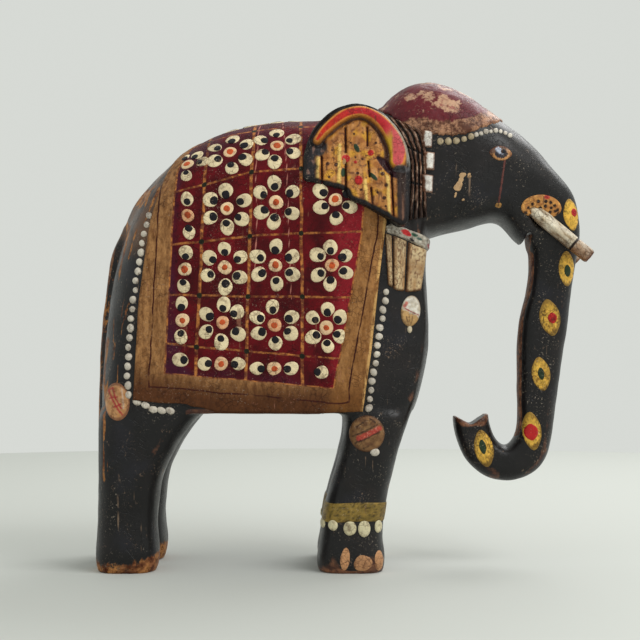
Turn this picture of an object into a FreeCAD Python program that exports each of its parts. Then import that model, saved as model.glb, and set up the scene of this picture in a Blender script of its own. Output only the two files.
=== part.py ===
"""Carved and painted wooden elephant, 305 mm tall, built up from glued blocks of wood.

Millimetres.  The elephant stands on z = 0 and faces +X; its left side is +Y.  y = 0 is the plane
of symmetry.  The body, the head with the trunk, and each leg are lofted through stations.  A
station is a closed rounded outline in a plane that holds the Y direction, from a low point to a
high point of the side profile.
"""
import FreeCAD, Part
import math
import os

V = FreeCAD.Vector

# ---------------------------------------------------------------- driving dimensions
BELLY_Z = 98.0             # the legs are joined to the body on this plane
BODY_HALF = 50.0           # half width of the barrel of the body
NECK_HALF = 38.0           # half width of the neck and the cheeks
TRUNK_HALF = 15.0          # half width of the trunk
LEG_Y = 28.0               # the legs' centre planes stand this far from y = 0
LEG_HALF = 22.0            # half width of a leg at the belly
TORSO_JOINT_X = -52.0      # glue line between the rear and the front block
SQUARENESS = 2.4           # exponent of the rounded corners; 2 is an ellipse
CORNER_STEPS = 5           # points on each quarter of a station's outline
FLAT_STEPS = 4             # gaps between points along a station's straight side

CLOTH_RISE = 0.9           # gesso relief of the saddle cloth above the wood
BORDER_RISE = 1.4          # the cloth's border stands a little higher
TRIM_RISE = 1.6            # collar, bib, tassels and other relief
FRILL_RISE = 2.6           # carved frill behind the ear
CAP_RISE = 1.0             # head cap
EAR_THICK = 13.0           # ear board
EAR_LEAN = 7.0             # degrees that the ear's top leans inward
EAR_OUT = 58.0             # outer face of the ear at its foot, from y = 0
PEARL_R = 2.1              # small cloth pearls
BIG_PEARL_R = 2.6          # pearls at the lower rear corner of the cloth
BROW_PEARL_R = 1.9
TUSK_R = 4.7
TUSK_TIP_R = 4.0
DOWEL_R = 5.0              # leg, body and neck dowels
PIN_R = 2.0                # ear and tail pins

# Side profile of the body: (low x, z), (high x, z), half width, low and high corner rounding.
# The stations fan round the rump, run along the barrel and fan again up the chest.
TORSO = (
    ((-86, 88), (-152, 88), BODY_HALF, 10, 17),
    ((-84, 88), (-151, 116), BODY_HALF, 10, 21),
    ((-81, 88), (-149, 146), BODY_HALF, 10, 28),
    ((-77, 88), (-145, 176), BODY_HALF, 10, 36),
    ((-73, 88), (-138, 204), BODY_HALF, 10, 42),
    ((-68, 88), (-126, 232), BODY_HALF, 10, 47),
    ((-62, 88), (-104, 257), BODY_HALF, 10, 48),
    ((-55, 88), (-76, 272.5), BODY_HALF, 10, 48),
    ((-44, 88), (-46, 279.5), BODY_HALF, 10, 48),
    ((-20, 88), (-17, 281), BODY_HALF, 10, 48),
    ((5, 88), (3, 283), 49, 10, 47),
    ((25, 88), (11, 285), 47, 12, 45),
    ((40, 92), (16, 286.5), 45, 14, 43),
    ((49, 110), (19, 287.5), 42, 20, 41),
    ((54, 134), (21, 288), 40, 26, 39),
    ((54.5, 160), (22.5, 288.5), NECK_HALF, 28, 38),
    ((53, 184), (24, 289), NECK_HALF, 28, 38),
    ((55, 207), (26, 289.5), NECK_HALF, 28, 38),
)

# Head and trunk, from the neck joint round the brow, down the trunk and up to its curled tip.
HEAD = (
    TORSO[-1],
    ((60, 208.5), (41, 302), NECK_HALF, 28, 36),
    ((70, 211), (56, 305), NECK_HALF, 28, 34),
    ((82, 214), (74, 299), NECK_HALF, 26, 32),
    ((92, 217), (91, 288.5), 36, 24, 30),
    ((100, 216.5), (107, 277.5), 33, 22, 27),
    ((106, 211), (121, 266), 29, 19, 24),
    ((112, 204.5), (135, 251), 24, 15, 19),
    ((118, 200), (147, 235), 19, 12, 14),
)
TRUNK = (
    ((119.5, 193), (151.5, 214), 16.5, 11, 12),
    ((119, 182), (149.5, 194), 15.5, 10, 12),
    ((117, 170), (146, 173), TRUNK_HALF, 9, 12),
    ((113.5, 156), (144, 155), TRUNK_HALF, 9, 12),
    ((112, 140), (141.5, 139), TRUNK_HALF, 9, 12),
    ((112, 122), (138.7, 120), TRUNK_HALF, 9, 12),
    ((112, 104), (136, 99), 14.5, 9, 11),
    ((112, 90), (133.5, 81), 14.5, 9, 10),
    ((110.5, 82), (129, 66), 14, 9, 10),
    ((107.5, 77.5), (119.5, 57), 14, 9, 10),
    ((104, 75.5), (105.5, 53), 14, 9, 10),
    ((100.5, 77), (91.5, 56), 13.5, 8, 10),
    ((97.5, 80.5), (80.5, 65), 13, 8, 9),
    ((95, 86.5), (73.5, 78.5), 12.5, 8, 8),
    ((93.5, 92), (71, 89), 12, 7, 7),
    ((93, 98), (71, 96), 12, 7, 7),
)
TRUNK_NOTCH = ((68, 94), (71, 95), (82, 89), (94, 97), (97, 102), (68, 102))
MOUTH_CUT = ((112.5, 198), (118.5, 199), (119, 213), (117.5, 213))

# Legs: (z, rear x, front x, half width).
HIND_LEG = (
    (0, -151.5, -116, 19.5),
    (4, -152.5, -114.5, 20.5),
    (28, -152, -115, 20),
    (45, -151.5, -114, 20.5),
    (60, -151.5, -111, 21),
    (73, -151.5, -105, 21.5),
    (86, -151.5, -97, LEG_HALF),
    (98, -151.5, -86, LEG_HALF),
)
FORE_LEG = (
    (0, -14.5, 25, 19.5),
    (4, -15.5, 26, 20.5),
    (21, -13.5, 25, 20),
    (34, -12, 26, 20),
    (50, -8.5, 28.5, 20),
    (62, -5, 31.5, 20.5),
    (75, -1.5, 35, 21),
    (87, 0.5, 39, 21.5),
    (98, 0, 43, LEG_HALF),
)
LEG_ROUND = 15.0

# Tail, lying down the rump: (z, half width, outer x).
TAIL = (
    (214, 3.0, -139.5),
    (205, 5.0, -144.0),
    (180, 5.0, -149.5),
    (150, 4.5, -153.0),
    (120, 4.5, -154.5),
    (100, 6.5, -155.0),
    (84, 7.0, -155.0),
    (70, 4.0, -154.0),
)
TAIL_DEEP = 9.0

# Ear outline (x, z): the lower edge, then up the front and over the top.
EAR_LOWER = ((-23, 240.5), (-3, 236), (4, 231), (23, 223), (33.5, 217.5), (41, 213))
EAR_UPPER = ((41, 213), (42, 236), (40.5, 254), (31, 275.5), (19.5, 284.5), (6.5, 287.5),
             (-6, 283), (-16, 273.5), (-22, 259), (-23, 240.5))

# Saddle cloth seen from the side: outer edge of the border and of the crimson field.
CLOTH_OUTER = ((-128, 106), (4, 98.5), (25, 219), (20, 300), (-88, 300), (-116, 218))
CLOTH_FIELD = ((-110, 121), (-5, 114), (11, 207), (8, 300), (-76, 300), (-102, 224))

# Relief on each side of the neck and the head, seen from the side.
FRILL = ((31, 219), (46, 214), (48, 250), (41, 275), (30, 277), (40, 250))
COLLAR = ((26, 214.5), (54, 204), (52, 196.5), (25, 207.5))
BIB = ((25, 207.5), (51.5, 197), (49, 173), (31, 173), (27, 190))
CAP = ((28, 284), (41, 268), (58, 262.5), (80, 264), (95, 271), (106, 276), (112, 284),
       (90, 312), (20, 312))
CHEST_PENDANT = ((42.5, 161), 5.5, 8.5)
RUMP_TASSEL = ((-139, 105), 7.5, 10.0)
FORE_TASSEL = ((15, 86), 11.0, 11.0)
EYE = ((98, 259), 7.0, 4.5)
TUSK_SOCKET = ((122, 224), 14.0, 8.0)
ANKLET_Z = (32.0, 43.5)
TEMPLE_BEADS = ((52, 257.5), (52, 246), (51.5, 234.5))
TEMPLE_BEAD_SIZE = (3.2, 5.2)

# Pearl rows: (start x, z), (end x, z), count, radius.
PEARL_ROWS = (
    ((-119.5, 218), (-131.5, 118), 19, PEARL_R),
    ((-124, 102), (-104, 100.5), 4, BIG_PEARL_R),
    ((27.5, 173.5), (15, 104), 13, PEARL_R),
)
BROW_LINE = ((52, 258.5), (73, 259.5), (101, 267.5))
BROW_COUNT = 14

TUSK_ROOT = V(99, 17.5, 240)
TUSK_TIP = V(152.7, 27, 194.5)

BIG = 400.0                # larger than the whole figure
CRUMB = 6.0                # slivers under this volume are carved away


# ---------------------------------------------------------------- outlines and lofts
def corner(steps):
    """Cosine-like and sine-like shares along one quarter of a superellipse."""
    power = 2.0 / SQUARENESS
    shares = []
    for i in range(steps + 1):
        angle = math.pi / 2 * i / steps
        shares.append((math.cos(angle) ** power, math.sin(angle) ** power))
    return shares


def station(low, high, half, low_round, high_round, centre_y=0.0):
    """Points round a rounded outline that stands on the line from low to high."""
    low_at = V(low[0], centre_y, low[1])
    along = V(high[0], centre_y, high[1]) - low_at
    length = along.Length
    along.normalize()
    quarter = corner(CORNER_STEPS)
    one_side = [(half * c, length - high_round * (1 - s)) for c, s in quarter]
    other_high = [(-across, up) for across, up in reversed(one_side[:-1])]
    bottom = [(-half * c, low_round * (1 - s)) for c, s in quarter]
    other_low = [(-across, up) for across, up in reversed(bottom[:-1])]
    gap = length - high_round - low_round
    levels = [gap * i / FLAT_STEPS for i in range(1, FLAT_STEPS)]
    falling = [(-half, length - high_round - level) for level in levels]
    rising = [(half, low_round + level) for level in levels]
    outline = one_side + other_high + falling + bottom + other_low + rising
    return [low_at + along * up + V(0, across, 0) for across, up in outline]


def even_shares(lengths):
    """Running totals of some lengths, from 0 to 1."""
    totals = [0.0]
    for length in lengths:
        totals.append(totals[-1] + length)
    return [total / totals[-1] for total in totals]


def loft(rings):
    """A smooth solid through rings of points that correspond one to one."""
    count = len(rings[0])
    gaps = [0.0] * count
    for ring in rings:
        ring_gaps = [(ring[(i + 1) % count] - ring[i]).Length for i in range(count)]
        for i in range(count):
            gaps[i] += ring_gaps[i] / sum(ring_gaps)
    round_shares = even_shares(gaps)
    outlines = []
    for ring in rings:
        outline = Part.BSplineCurve()
        outline.interpolate(Points=ring, PeriodicFlag=True, Parameters=round_shares)
        outlines.append(outline)
    rows = [outline.getPoles() for outline in outlines]
    steps = [sum((b - a).Length for a, b in zip(row, following))
             for row, following in zip(rows, rows[1:])]
    along_shares = even_shares(steps)
    ribs = []
    for column in zip(*rows):
        rib = Part.BSplineCurve()
        rib.interpolate(Points=list(column), Parameters=along_shares)
        ribs.append(rib)
    skin = Part.BSplineSurface()
    skin.buildFromPolesMultsKnots(
        [rib.getPoles() for rib in ribs],
        outlines[0].getMultiplicities(), ribs[0].getMultiplicities(),
        outlines[0].getKnots(), ribs[0].getKnots(), True, False, 3, 3)
    caps = [Part.Face(Part.Wire(outline.toShape())) for outline in (outlines[0], outlines[-1])]
    shell = Part.makeShell([skin.toShape()] + caps)
    shell.sewShape()
    solid = Part.Solid(shell)
    if solid.Volume < 0:
        solid.reverse()
    return solid


def grown(stations, rise):
    """The same stations, larger by rise all round."""
    result = []
    for low, high, half, low_round, high_round in stations:
        length = math.hypot(high[0] - low[0], high[1] - low[1])
        step = ((high[0] - low[0]) / length * rise, (high[1] - low[1]) / length * rise)
        result.append(((low[0] - step[0], low[1] - step[1]), (high[0] + step[0], high[1] + step[1]),
                       half + rise, low_round + rise, high_round + rise))
    return result


def body_loft(stations, rise=0.0):
    return loft([station(*place) for place in grown(stations, rise)])


def leg_loft(levels, rise=0.0):
    rings = []
    for z, rear, front, half in levels:
        rings.append(station((rear - rise, z), (front + rise, z), half + rise,
                             LEG_ROUND, LEG_ROUND, LEG_Y))
    return loft(rings)


# ---------------------------------------------------------------- small tools
def slab(x0, x1, y0, y1, z0, z1):
    return Part.makeBox(x1 - x0, y1 - y0, z1 - z0, V(x0, y0, z0))


def prism(outline, y0, y1):
    """A side-view outline pushed from y0 to y1."""
    points = [V(x, y0, z) for x, z in outline]
    return Part.Face(Part.makePolygon(points + points[:1])).extrude(V(0, y1 - y0, 0))


def oval(centre, half_x, half_z, y0, y1):
    """An upright oval, pushed from y0 to y1."""
    long_half = max(half_x, half_z)
    short_half = min(half_x, half_z)
    if half_z > half_x:
        major = V(0, 0, long_half)
        minor = V(short_half, 0, 0)
    else:
        major = V(long_half, 0, 0)
        minor = V(0, 0, short_half)
    middle = V(centre[0], y0, centre[1])
    if long_half > short_half:
        edge = Part.Ellipse(middle + major, middle + minor, middle).toShape()
    else:
        edge = Part.Circle(middle, V(0, 1, 0), long_half).toShape()
    return Part.Face(Part.Wire(edge)).extrude(V(0, y1 - y0, 0))


def mirrored(shape):
    return shape.mirror(V(0, 0, 0), V(0, 1, 0))


def both(shape):
    """A left shape with its right twin."""
    return Part.makeCompound(shape.Solids + mirrored(shape).Solids)


def relief(cutter, shell):
    """The part of a raised shell inside a cutter."""
    return Part.makeCompound(shell.common(cutter).Solids)


def flank(solid, x, z):
    """Largest y of a solid at (x, z)."""
    probe = Part.makeLine(V(x, 0, z), V(x, BIG, z)).common(solid)
    return probe.BoundBox.YMax


def spaced(start, end, count):
    """Evenly spaced (x, z) places from start to end."""
    places = []
    for i in range(count):
        share = i / (count - 1)
        places.append((start[0] + (end[0] - start[0]) * share,
                       start[1] + (end[1] - start[1]) * share))
    return places


def pearls(places, radius, host):
    """Half-round beads standing on the left side of a host solid, along its surface normal."""
    beads = []
    for x, z in places:
        here = flank(host, x, z)
        out = V(here - flank(host, x + 1, z), 1, here - flank(host, x, z + 1)).normalize()
        beads.append(Part.makeSphere(radius, V(x, here, z), out, 0, 90, 360))
    return beads


def rod(start, end, radius, end_radius=None):
    """A round rod or a tapered one."""
    axis = end - start
    if end_radius is None:
        return Part.makeCylinder(radius, axis.Length, start, axis)
    return Part.makeCone(radius, end_radius, axis.Length, start, axis)


parts = {}

# ---------------------------------------------------------------- dowels
leg_dowel_tops = ((-128, LEG_Y), (22, LEG_Y))
LEG_DOWEL_HALF = 26.0
leg_dowels = [rod(V(x, y, BELLY_Z - LEG_DOWEL_HALF), V(x, y, BELLY_Z + LEG_DOWEL_HALF), DOWEL_R)
              for x, y in leg_dowel_tops]
leg_dowels = both(Part.makeCompound(leg_dowels))

TORSO_DOWEL_HALF = 30.0
torso_dowel_places = ((-25, 150), (25, 150), (0, 235))
torso_dowels = Part.makeCompound([
    rod(V(TORSO_JOINT_X - TORSO_DOWEL_HALF, y, z), V(TORSO_JOINT_X + TORSO_DOWEL_HALF, y, z), DOWEL_R)
    for y, z in torso_dowel_places])

NECK_DOWEL_HALF = 24.0
neck_low = V(55, 0, 207)
neck_high = V(26, 0, 289.5)
neck_up = neck_high - neck_low
neck_along = V(neck_up.z, 0, -neck_up.x).normalize()
neck_dowels = []
for share in (0.3, 0.72):
    middle = neck_low + neck_up * share
    neck_dowels.append(rod(middle - neck_along * NECK_DOWEL_HALF,
                           middle + neck_along * NECK_DOWEL_HALF, DOWEL_R))
neck_dowels = Part.makeCompound(neck_dowels)

TRUNK_DOWEL_HALF = 13.0
TRUNK_DOWEL_R = 4.0
trunk_low = V(119.5, 0, 193)
trunk_high = V(151.5, 0, 214)
trunk_across = trunk_high - trunk_low
trunk_down = V(trunk_across.z, 0, -trunk_across.x).normalize()
trunk_middle = trunk_low + trunk_across * 0.5
trunk_dowel = rod(trunk_middle - trunk_down * TRUNK_DOWEL_HALF,
                  trunk_middle + trunk_down * TRUNK_DOWEL_HALF, TRUNK_DOWEL_R)

# ---------------------------------------------------------------- wood blocks
under_belly = slab(-BIG, BIG, -BIG, BIG, -BIG, BELLY_Z)
torso = body_loft(TORSO).cut(under_belly)
raised_torso = {rise: body_loft(TORSO, rise).cut(under_belly)
                for rise in (CLOTH_RISE, BORDER_RISE, TRIM_RISE, FRILL_RISE)}
head_and_trunk = body_loft(HEAD + TRUNK)
raised_head = {rise: body_loft(HEAD + TRUNK, rise) for rise in (CAP_RISE, TRIM_RISE, FRILL_RISE)}

below_trunk_joint = prism(((trunk_low.x - trunk_across.x * 4, trunk_low.z - trunk_across.z * 4),
                           (trunk_low.x + trunk_across.x * 4, trunk_low.z + trunk_across.z * 4),
                           (BIG, -BIG), (-BIG, -BIG)), -BIG, BIG)
head = head_and_trunk.cut(below_trunk_joint).cut(prism(MOUTH_CUT, -BIG, BIG))
trunk = head_and_trunk.common(below_trunk_joint).cut(prism(TRUNK_NOTCH, -BIG, BIG))
trunk = trunk.cut(prism(MOUTH_CUT, -BIG, BIG))

hind_leg = leg_loft(HIND_LEG)
fore_leg = leg_loft(FORE_LEG)

# ---------------------------------------------------------------- ears, tusks and tail
upper = Part.BSplineCurve()
upper.interpolate([V(x, 0, z) for x, z in EAR_UPPER])
lower = Part.makePolygon([V(x, 0, z) for x, z in EAR_LOWER])
ear_face = Part.Face(Part.Wire([upper.toShape()] + lower.Edges))
ear_board = ear_face.extrude(V(0, -EAR_THICK, 0))
ear_board.rotate(V(0, 0, EAR_LOWER[-1][1]), V(1, 0, 0), EAR_LEAN)
ear_board.translate(V(0, EAR_OUT, 0))
ear = ear_board.cut(raised_torso[BORDER_RISE]).cut(head)
EAR_PIN_PLACES = ((0, 252), (24, 240))
ear_pins = Part.makeCompound([rod(V(x, EAR_OUT - EAR_THICK * 2, z), V(x, EAR_OUT - 6, z), PIN_R)
                              for x, z in EAR_PIN_PLACES])

tusk = rod(TUSK_ROOT, TUSK_TIP, TUSK_R, TUSK_TIP_R)

tail_rings = []
for z, half, outer in TAIL:
    tail_rings.append(station((outer, z), (outer + TAIL_DEEP, z), half, 3, 3))
tail = loft(tail_rings).cut(torso)
TAIL_PIN_Z = 196.0
tail_pin = rod(V(-143, 0, TAIL_PIN_Z), V(-120, 0, TAIL_PIN_Z), PIN_R)

# ---------------------------------------------------------------- gesso and paste relief
cloth_field = prism(CLOTH_FIELD, -BIG, BIG)
saddle_cloth = relief(cloth_field, raised_torso[CLOTH_RISE].cut(torso))
cloth_border = relief(prism(CLOTH_OUTER, -BIG, BIG).cut(cloth_field),
                      raised_torso[BORDER_RISE].cut(torso))

fore_leg_skin = leg_loft(FORE_LEG, TRIM_RISE)
hind_leg_skin = leg_loft(HIND_LEG, TRIM_RISE)
wood = (torso, head, trunk, hind_leg, fore_leg, ear, tusk)


def trim(cutter, rise, skins=None):
    """Left-side relief inside a cutter, on the torso and the head unless other skins are given."""
    solids = []
    for raised in skins or (raised_torso[rise], raised_head[rise]):
        piece = raised.common(cutter)
        for solid in wood + tuple(solids):
            if piece.Solids:
                piece = piece.cut(solid)
        solids += [solid for solid in piece.Solids if solid.Volume > CRUMB]
    return Part.makeCompound(solids)


def carve(shape, *cutters):
    """A shape less each cutter that leaves something of it."""
    for cutter in cutters:
        if cutter.Solids:
            shape = shape.cut(cutter)
    return Part.makeCompound([solid for solid in shape.Solids if solid.Volume > CRUMB])


frill = trim(prism(FRILL, 4, BIG), FRILL_RISE)
collar = trim(prism(COLLAR, 4, BIG), TRIM_RISE)
bib = trim(prism(BIB, 4, BIG), TRIM_RISE)
chest_pendant = trim(oval(*CHEST_PENDANT, 4, BIG), TRIM_RISE)
rump_tassel = trim(oval(*RUMP_TASSEL, LEG_Y, BIG), TRIM_RISE, (raised_torso[TRIM_RISE], hind_leg_skin))
fore_tassel = trim(oval(*FORE_TASSEL, LEG_Y, BIG), TRIM_RISE, (fore_leg_skin,))
eye = trim(oval(*EYE, 4, BIG), TRIM_RISE)
tusk_socket = trim(oval(*TUSK_SOCKET, 4, BIG), TRIM_RISE)
head_cap = relief(prism(CAP, -BIG, BIG), raised_head[CAP_RISE].cut(head))
head_cap = carve(head_cap, torso, ear, mirrored(ear), frill, mirrored(frill))
temple_beads = []
for place in TEMPLE_BEADS:
    temple_beads += trim(oval(place, *TEMPLE_BEAD_SIZE, 4, BIG), FRILL_RISE).Solids
temple_beads = Part.makeCompound(temple_beads)

anklet = leg_loft(FORE_LEG, BORDER_RISE).cut(fore_leg)
anklet = anklet.common(slab(-BIG, BIG, -BIG, BIG, *ANKLET_Z))

cloth_pearls = []
for start, end, count, radius in PEARL_ROWS:
    cloth_pearls += pearls(spaced(start, end, count), radius, torso)
cloth_pearls = Part.makeCompound(cloth_pearls)
brow_places = spaced(BROW_LINE[0], BROW_LINE[1], BROW_COUNT // 2)
brow_places += spaced(BROW_LINE[1], BROW_LINE[2], BROW_COUNT // 2 + 1)[1:]
brow_pearls = Part.makeCompound(pearls(brow_places, BROW_PEARL_R, head))

# ---------------------------------------------------------------- holes, and the finished pieces
torso = torso.cut(leg_dowels).cut(torso_dowels).cut(neck_dowels).cut(both(ear_pins)).cut(tail_pin)
parts["torso_rear_block"] = torso.common(slab(-BIG, TORSO_JOINT_X, -BIG, BIG, 0, BIG))
parts["torso_front_block"] = torso.common(slab(TORSO_JOINT_X, BIG, -BIG, BIG, 0, BIG))
parts["head_block"] = head.cut(neck_dowels).cut(trunk_dowel).cut(both(tusk)).cut(both(ear_pins))
parts["trunk"] = trunk.cut(trunk_dowel).cut(both(tusk))
parts["tail"] = tail.cut(tail_pin)
parts["leg_dowels"] = leg_dowels
parts["torso_dowels"] = torso_dowels
parts["neck_dowels"] = neck_dowels
parts["trunk_dowel"] = trunk_dowel
parts["ear_pins"] = both(ear_pins)
parts["tail_pin"] = tail_pin
parts["saddle_cloth"] = saddle_cloth
parts["cloth_border"] = cloth_border
parts["head_cap"] = head_cap
parts["cloth_pearls"] = both(cloth_pearls)
parts["brow_pearls"] = both(brow_pearls)
parts["temple_beads"] = both(temple_beads)

handed = {
    "hind_leg": hind_leg.cut(leg_dowels),
    "fore_leg": fore_leg.cut(leg_dowels),
    "ear": ear.cut(ear_pins),
    "tusk": tusk,
    "neck_frill": frill,
    "collar": collar,
    "chest_bib": bib,
    "chest_pendant": chest_pendant,
    "rump_tassel": rump_tassel,
    "fore_tassel": fore_tassel,
    "eye": eye,
    "tusk_socket": tusk_socket,
    "anklet": anklet,
}
for name, shape in handed.items():
    parts[name + "_left"] = shape
    parts[name + "_right"] = mirrored(shape)

os.makedirs("parts", exist_ok=True)
for name, shape in parts.items():
    solids = shape.Solids
    shape = solids[0] if len(solids) == 1 else Part.makeCompound(solids)
    shape.exportStep("parts/" + name + ".step")
    box = shape.BoundBox
    print("%-20s %3d solids %10.0f mm3  valid %s  %s" % (
        name, len(solids), shape.Volume, shape.isValid(),
        " ".join("%.1f" % v for v in (box.XMin, box.XMax, box.YMin, box.YMax, box.ZMin, box.ZMax))))
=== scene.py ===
"""The looks of the carved and painted wooden elephant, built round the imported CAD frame."""
import math
import random

import bmesh
import bpy
import numpy as np
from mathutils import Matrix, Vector, noise
from mathutils.bvhtree import BVHTree


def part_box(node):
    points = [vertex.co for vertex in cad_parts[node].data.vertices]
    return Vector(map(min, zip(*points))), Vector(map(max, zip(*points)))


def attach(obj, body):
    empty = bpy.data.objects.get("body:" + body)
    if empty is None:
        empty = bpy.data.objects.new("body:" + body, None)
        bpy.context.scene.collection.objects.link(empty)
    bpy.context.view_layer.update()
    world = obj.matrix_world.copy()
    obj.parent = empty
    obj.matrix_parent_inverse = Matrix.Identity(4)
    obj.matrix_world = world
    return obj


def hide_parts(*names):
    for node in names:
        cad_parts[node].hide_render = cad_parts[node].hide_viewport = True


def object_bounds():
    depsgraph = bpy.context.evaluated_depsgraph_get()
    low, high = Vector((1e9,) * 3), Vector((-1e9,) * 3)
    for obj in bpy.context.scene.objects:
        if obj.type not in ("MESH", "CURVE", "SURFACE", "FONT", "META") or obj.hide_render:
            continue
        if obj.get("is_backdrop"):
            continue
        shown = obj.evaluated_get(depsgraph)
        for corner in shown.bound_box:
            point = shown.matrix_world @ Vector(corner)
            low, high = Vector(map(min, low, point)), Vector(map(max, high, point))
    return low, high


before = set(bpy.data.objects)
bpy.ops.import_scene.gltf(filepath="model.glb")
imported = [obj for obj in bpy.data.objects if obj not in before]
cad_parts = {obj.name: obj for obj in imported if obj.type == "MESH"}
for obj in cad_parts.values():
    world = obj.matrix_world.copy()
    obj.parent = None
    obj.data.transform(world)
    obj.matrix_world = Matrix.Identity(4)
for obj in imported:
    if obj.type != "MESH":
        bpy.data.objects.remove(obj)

cad_low, cad_high = (Vector(corner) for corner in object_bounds())
size_log = {"cad": [list(cad_low), list(cad_high)]}

# ---------------------------------------------------------------- units and anchors
DESIGN_HEIGHT = 306.0                               # design units over the whole height
MM = (cad_high.z - cad_low.z) / DESIGN_HEIGHT       # one design unit, about a millimetre
RIGHT, LEFT = -1, 1                                 # sides, as the sign of y
SIDE_NAMES = {RIGHT: "right", LEFT: "left"}


def node_box(name):
    """A CAD node's corners in design units."""
    low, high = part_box(name)
    return np.array(low) / MM, np.array(high) / MM


leg_top = node_box("hind_leg_right")[1][2]          # plane where the legs meet the body
joint_x = node_box("torso_front_block")[0][0]       # glue line of the two body blocks
chest_x = node_box("torso_front_block")[1][0]
tail_tip_x = node_box("trunk")[0][0] - 220          # the tail's tip stands behind this, over the hind legs

WOOD_NODES = ("torso_rear_block", "torso_front_block", "head_block", "trunk", "tail",
              "hind_leg_left", "hind_leg_right", "fore_leg_left", "fore_leg_right")
SKIN_VOXEL = 1.25 * MM
RELAX_ROUNDS = 10                                   # smoothing of the voxel steps
FLUSH_ROUNDS = 40                                   # smoothing of the steps where leg and tail meet the body
TAIL_ROOT_Z, TAIL_ROOT_RISE = 214.0, 4.2            # the tail's root, and how far it stands off the rump
CAST_FROM = 0.5                                     # a ray that misses the body takes the wood nearest here
LEG_MIDDLE_Y = 28.0                                 # and one that misses a leg takes the leg's own edge
AXIS_Z = 190.0                                      # height of the barrel's axis
RAY_START, BARREL_RAY_START = 120.0, 200            # where rays towards the wood start, well outside it
TRUNK_INNER_X, LIP_X = 104, 114                     # the worn inner face starts in front of the tip and lip
WEAR_SPARED = ((112, 212, 13, 0.1), (76, 80, 18, 0.45))    # the lip and the trunk's tip stay mostly black

rng = random.Random(11)


# ---------------------------------------------------------------- colours
def srgb(red, green, blue):
    """A linear colour from everyday 0-255 values."""
    return tuple((c / 255 / 12.92) if c <= 10 else ((c / 255 + 0.055) / 1.055) ** 2.4
                 for c in (red, green, blue))


BLACK = srgb(15, 13, 14)
OCHRE_DARK = srgb(62, 24, 14)
MAROON = srgb(68, 18, 40)
GOLD = srgb(190, 122, 62)
CREAM = srgb(230, 212, 172)
HEART_PEACH, HEART_CREAM = srgb(222, 166, 122), srgb(236, 208, 166)
ORANGE = srgb(190, 80, 34)
WHITE = srgb(210, 202, 188)
GREEN = srgb(36, 56, 34)
RED = srgb(184, 34, 34)
PUPIL = srgb(16, 12, 20)


# ---------------------------------------------------------------- materials
class Nodes:
    """A short way to write one material's node tree."""

    def __init__(self, name):
        self.material = bpy.data.materials.new(name)
        self.material.use_nodes = True
        self.tree = self.material.node_tree
        self.shader = self.tree.nodes["Principled BSDF"]
        self.place = self.new("ShaderNodeTexCoord").outputs["Object"]

    def new(self, kind, **settings):
        node = self.tree.nodes.new(kind)
        for key, value in settings.items():
            setattr(node, key, value)
        return node

    def link(self, value, socket):
        if hasattr(value, "is_linked"):
            self.tree.links.new(value, socket)
        elif isinstance(value, tuple) and len(value) == 3 and socket.type == "RGBA":
            socket.default_value = (*value, 1)
        else:
            socket.default_value = value

    def math(self, operation, *values, clamp=False):
        node = self.new("ShaderNodeMath", operation=operation, use_clamp=clamp)
        for value, socket in zip(values, node.inputs):
            self.link(value, socket)
        return node.outputs[0]

    def mix(self, share, first, second, blend="MIX"):
        node = self.new("ShaderNodeMix", data_type="RGBA", blend_type=blend)
        self.link(share, node.inputs[0])
        self.link(first, node.inputs[6])
        self.link(second, node.inputs[7])
        return node.outputs[2]

    def ramp(self, value, start, end, low=0.0, high=1.0):
        """A smooth step of a value between start and end."""
        node = self.new("ShaderNodeMapRange", interpolation_type="SMOOTHSTEP", clamp=True)
        for given, socket in zip((value, start, end, low, high), node.inputs):
            self.link(given, socket)
        return node.outputs[0]

    def stretched(self, scale):
        node = self.new("ShaderNodeMapping")
        self.link(self.place, node.inputs["Vector"])
        node.inputs["Scale"].default_value = scale
        return node.outputs[0]

    def noise(self, scale, detail=4.0, rough=0.55, place=None):
        node = self.new("ShaderNodeTexNoise")
        self.link(place or self.place, node.inputs["Vector"])
        node.inputs["Scale"].default_value = scale
        node.inputs["Detail"].default_value = detail
        node.inputs["Roughness"].default_value = rough
        return node.outputs[0]

    def seams(self, scale):
        """Distance from the seams between random cells."""
        node = self.new("ShaderNodeTexVoronoi", feature="DISTANCE_TO_EDGE")
        self.link(self.place, node.inputs["Vector"])
        node.inputs["Scale"].default_value = scale
        return node.outputs["Distance"]

    def value(self, name):
        return self.new("ShaderNodeAttribute", attribute_name=name).outputs["Fac"]

    def colour(self, name):
        return self.new("ShaderNodeAttribute", attribute_name=name).outputs["Color"]

    def finish(self, colour, roughness, height, bump, distance=0.0004):
        relief = self.new("ShaderNodeBump")
        relief.inputs["Strength"].default_value = bump
        relief.inputs["Distance"].default_value = distance
        self.link(height, relief.inputs["Height"])
        self.link(relief.outputs[0], self.shader.inputs["Normal"])
        self.link(colour, self.shader.inputs["Base Color"])
        self.link(roughness, self.shader.inputs["Roughness"])
        return self.material


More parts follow.
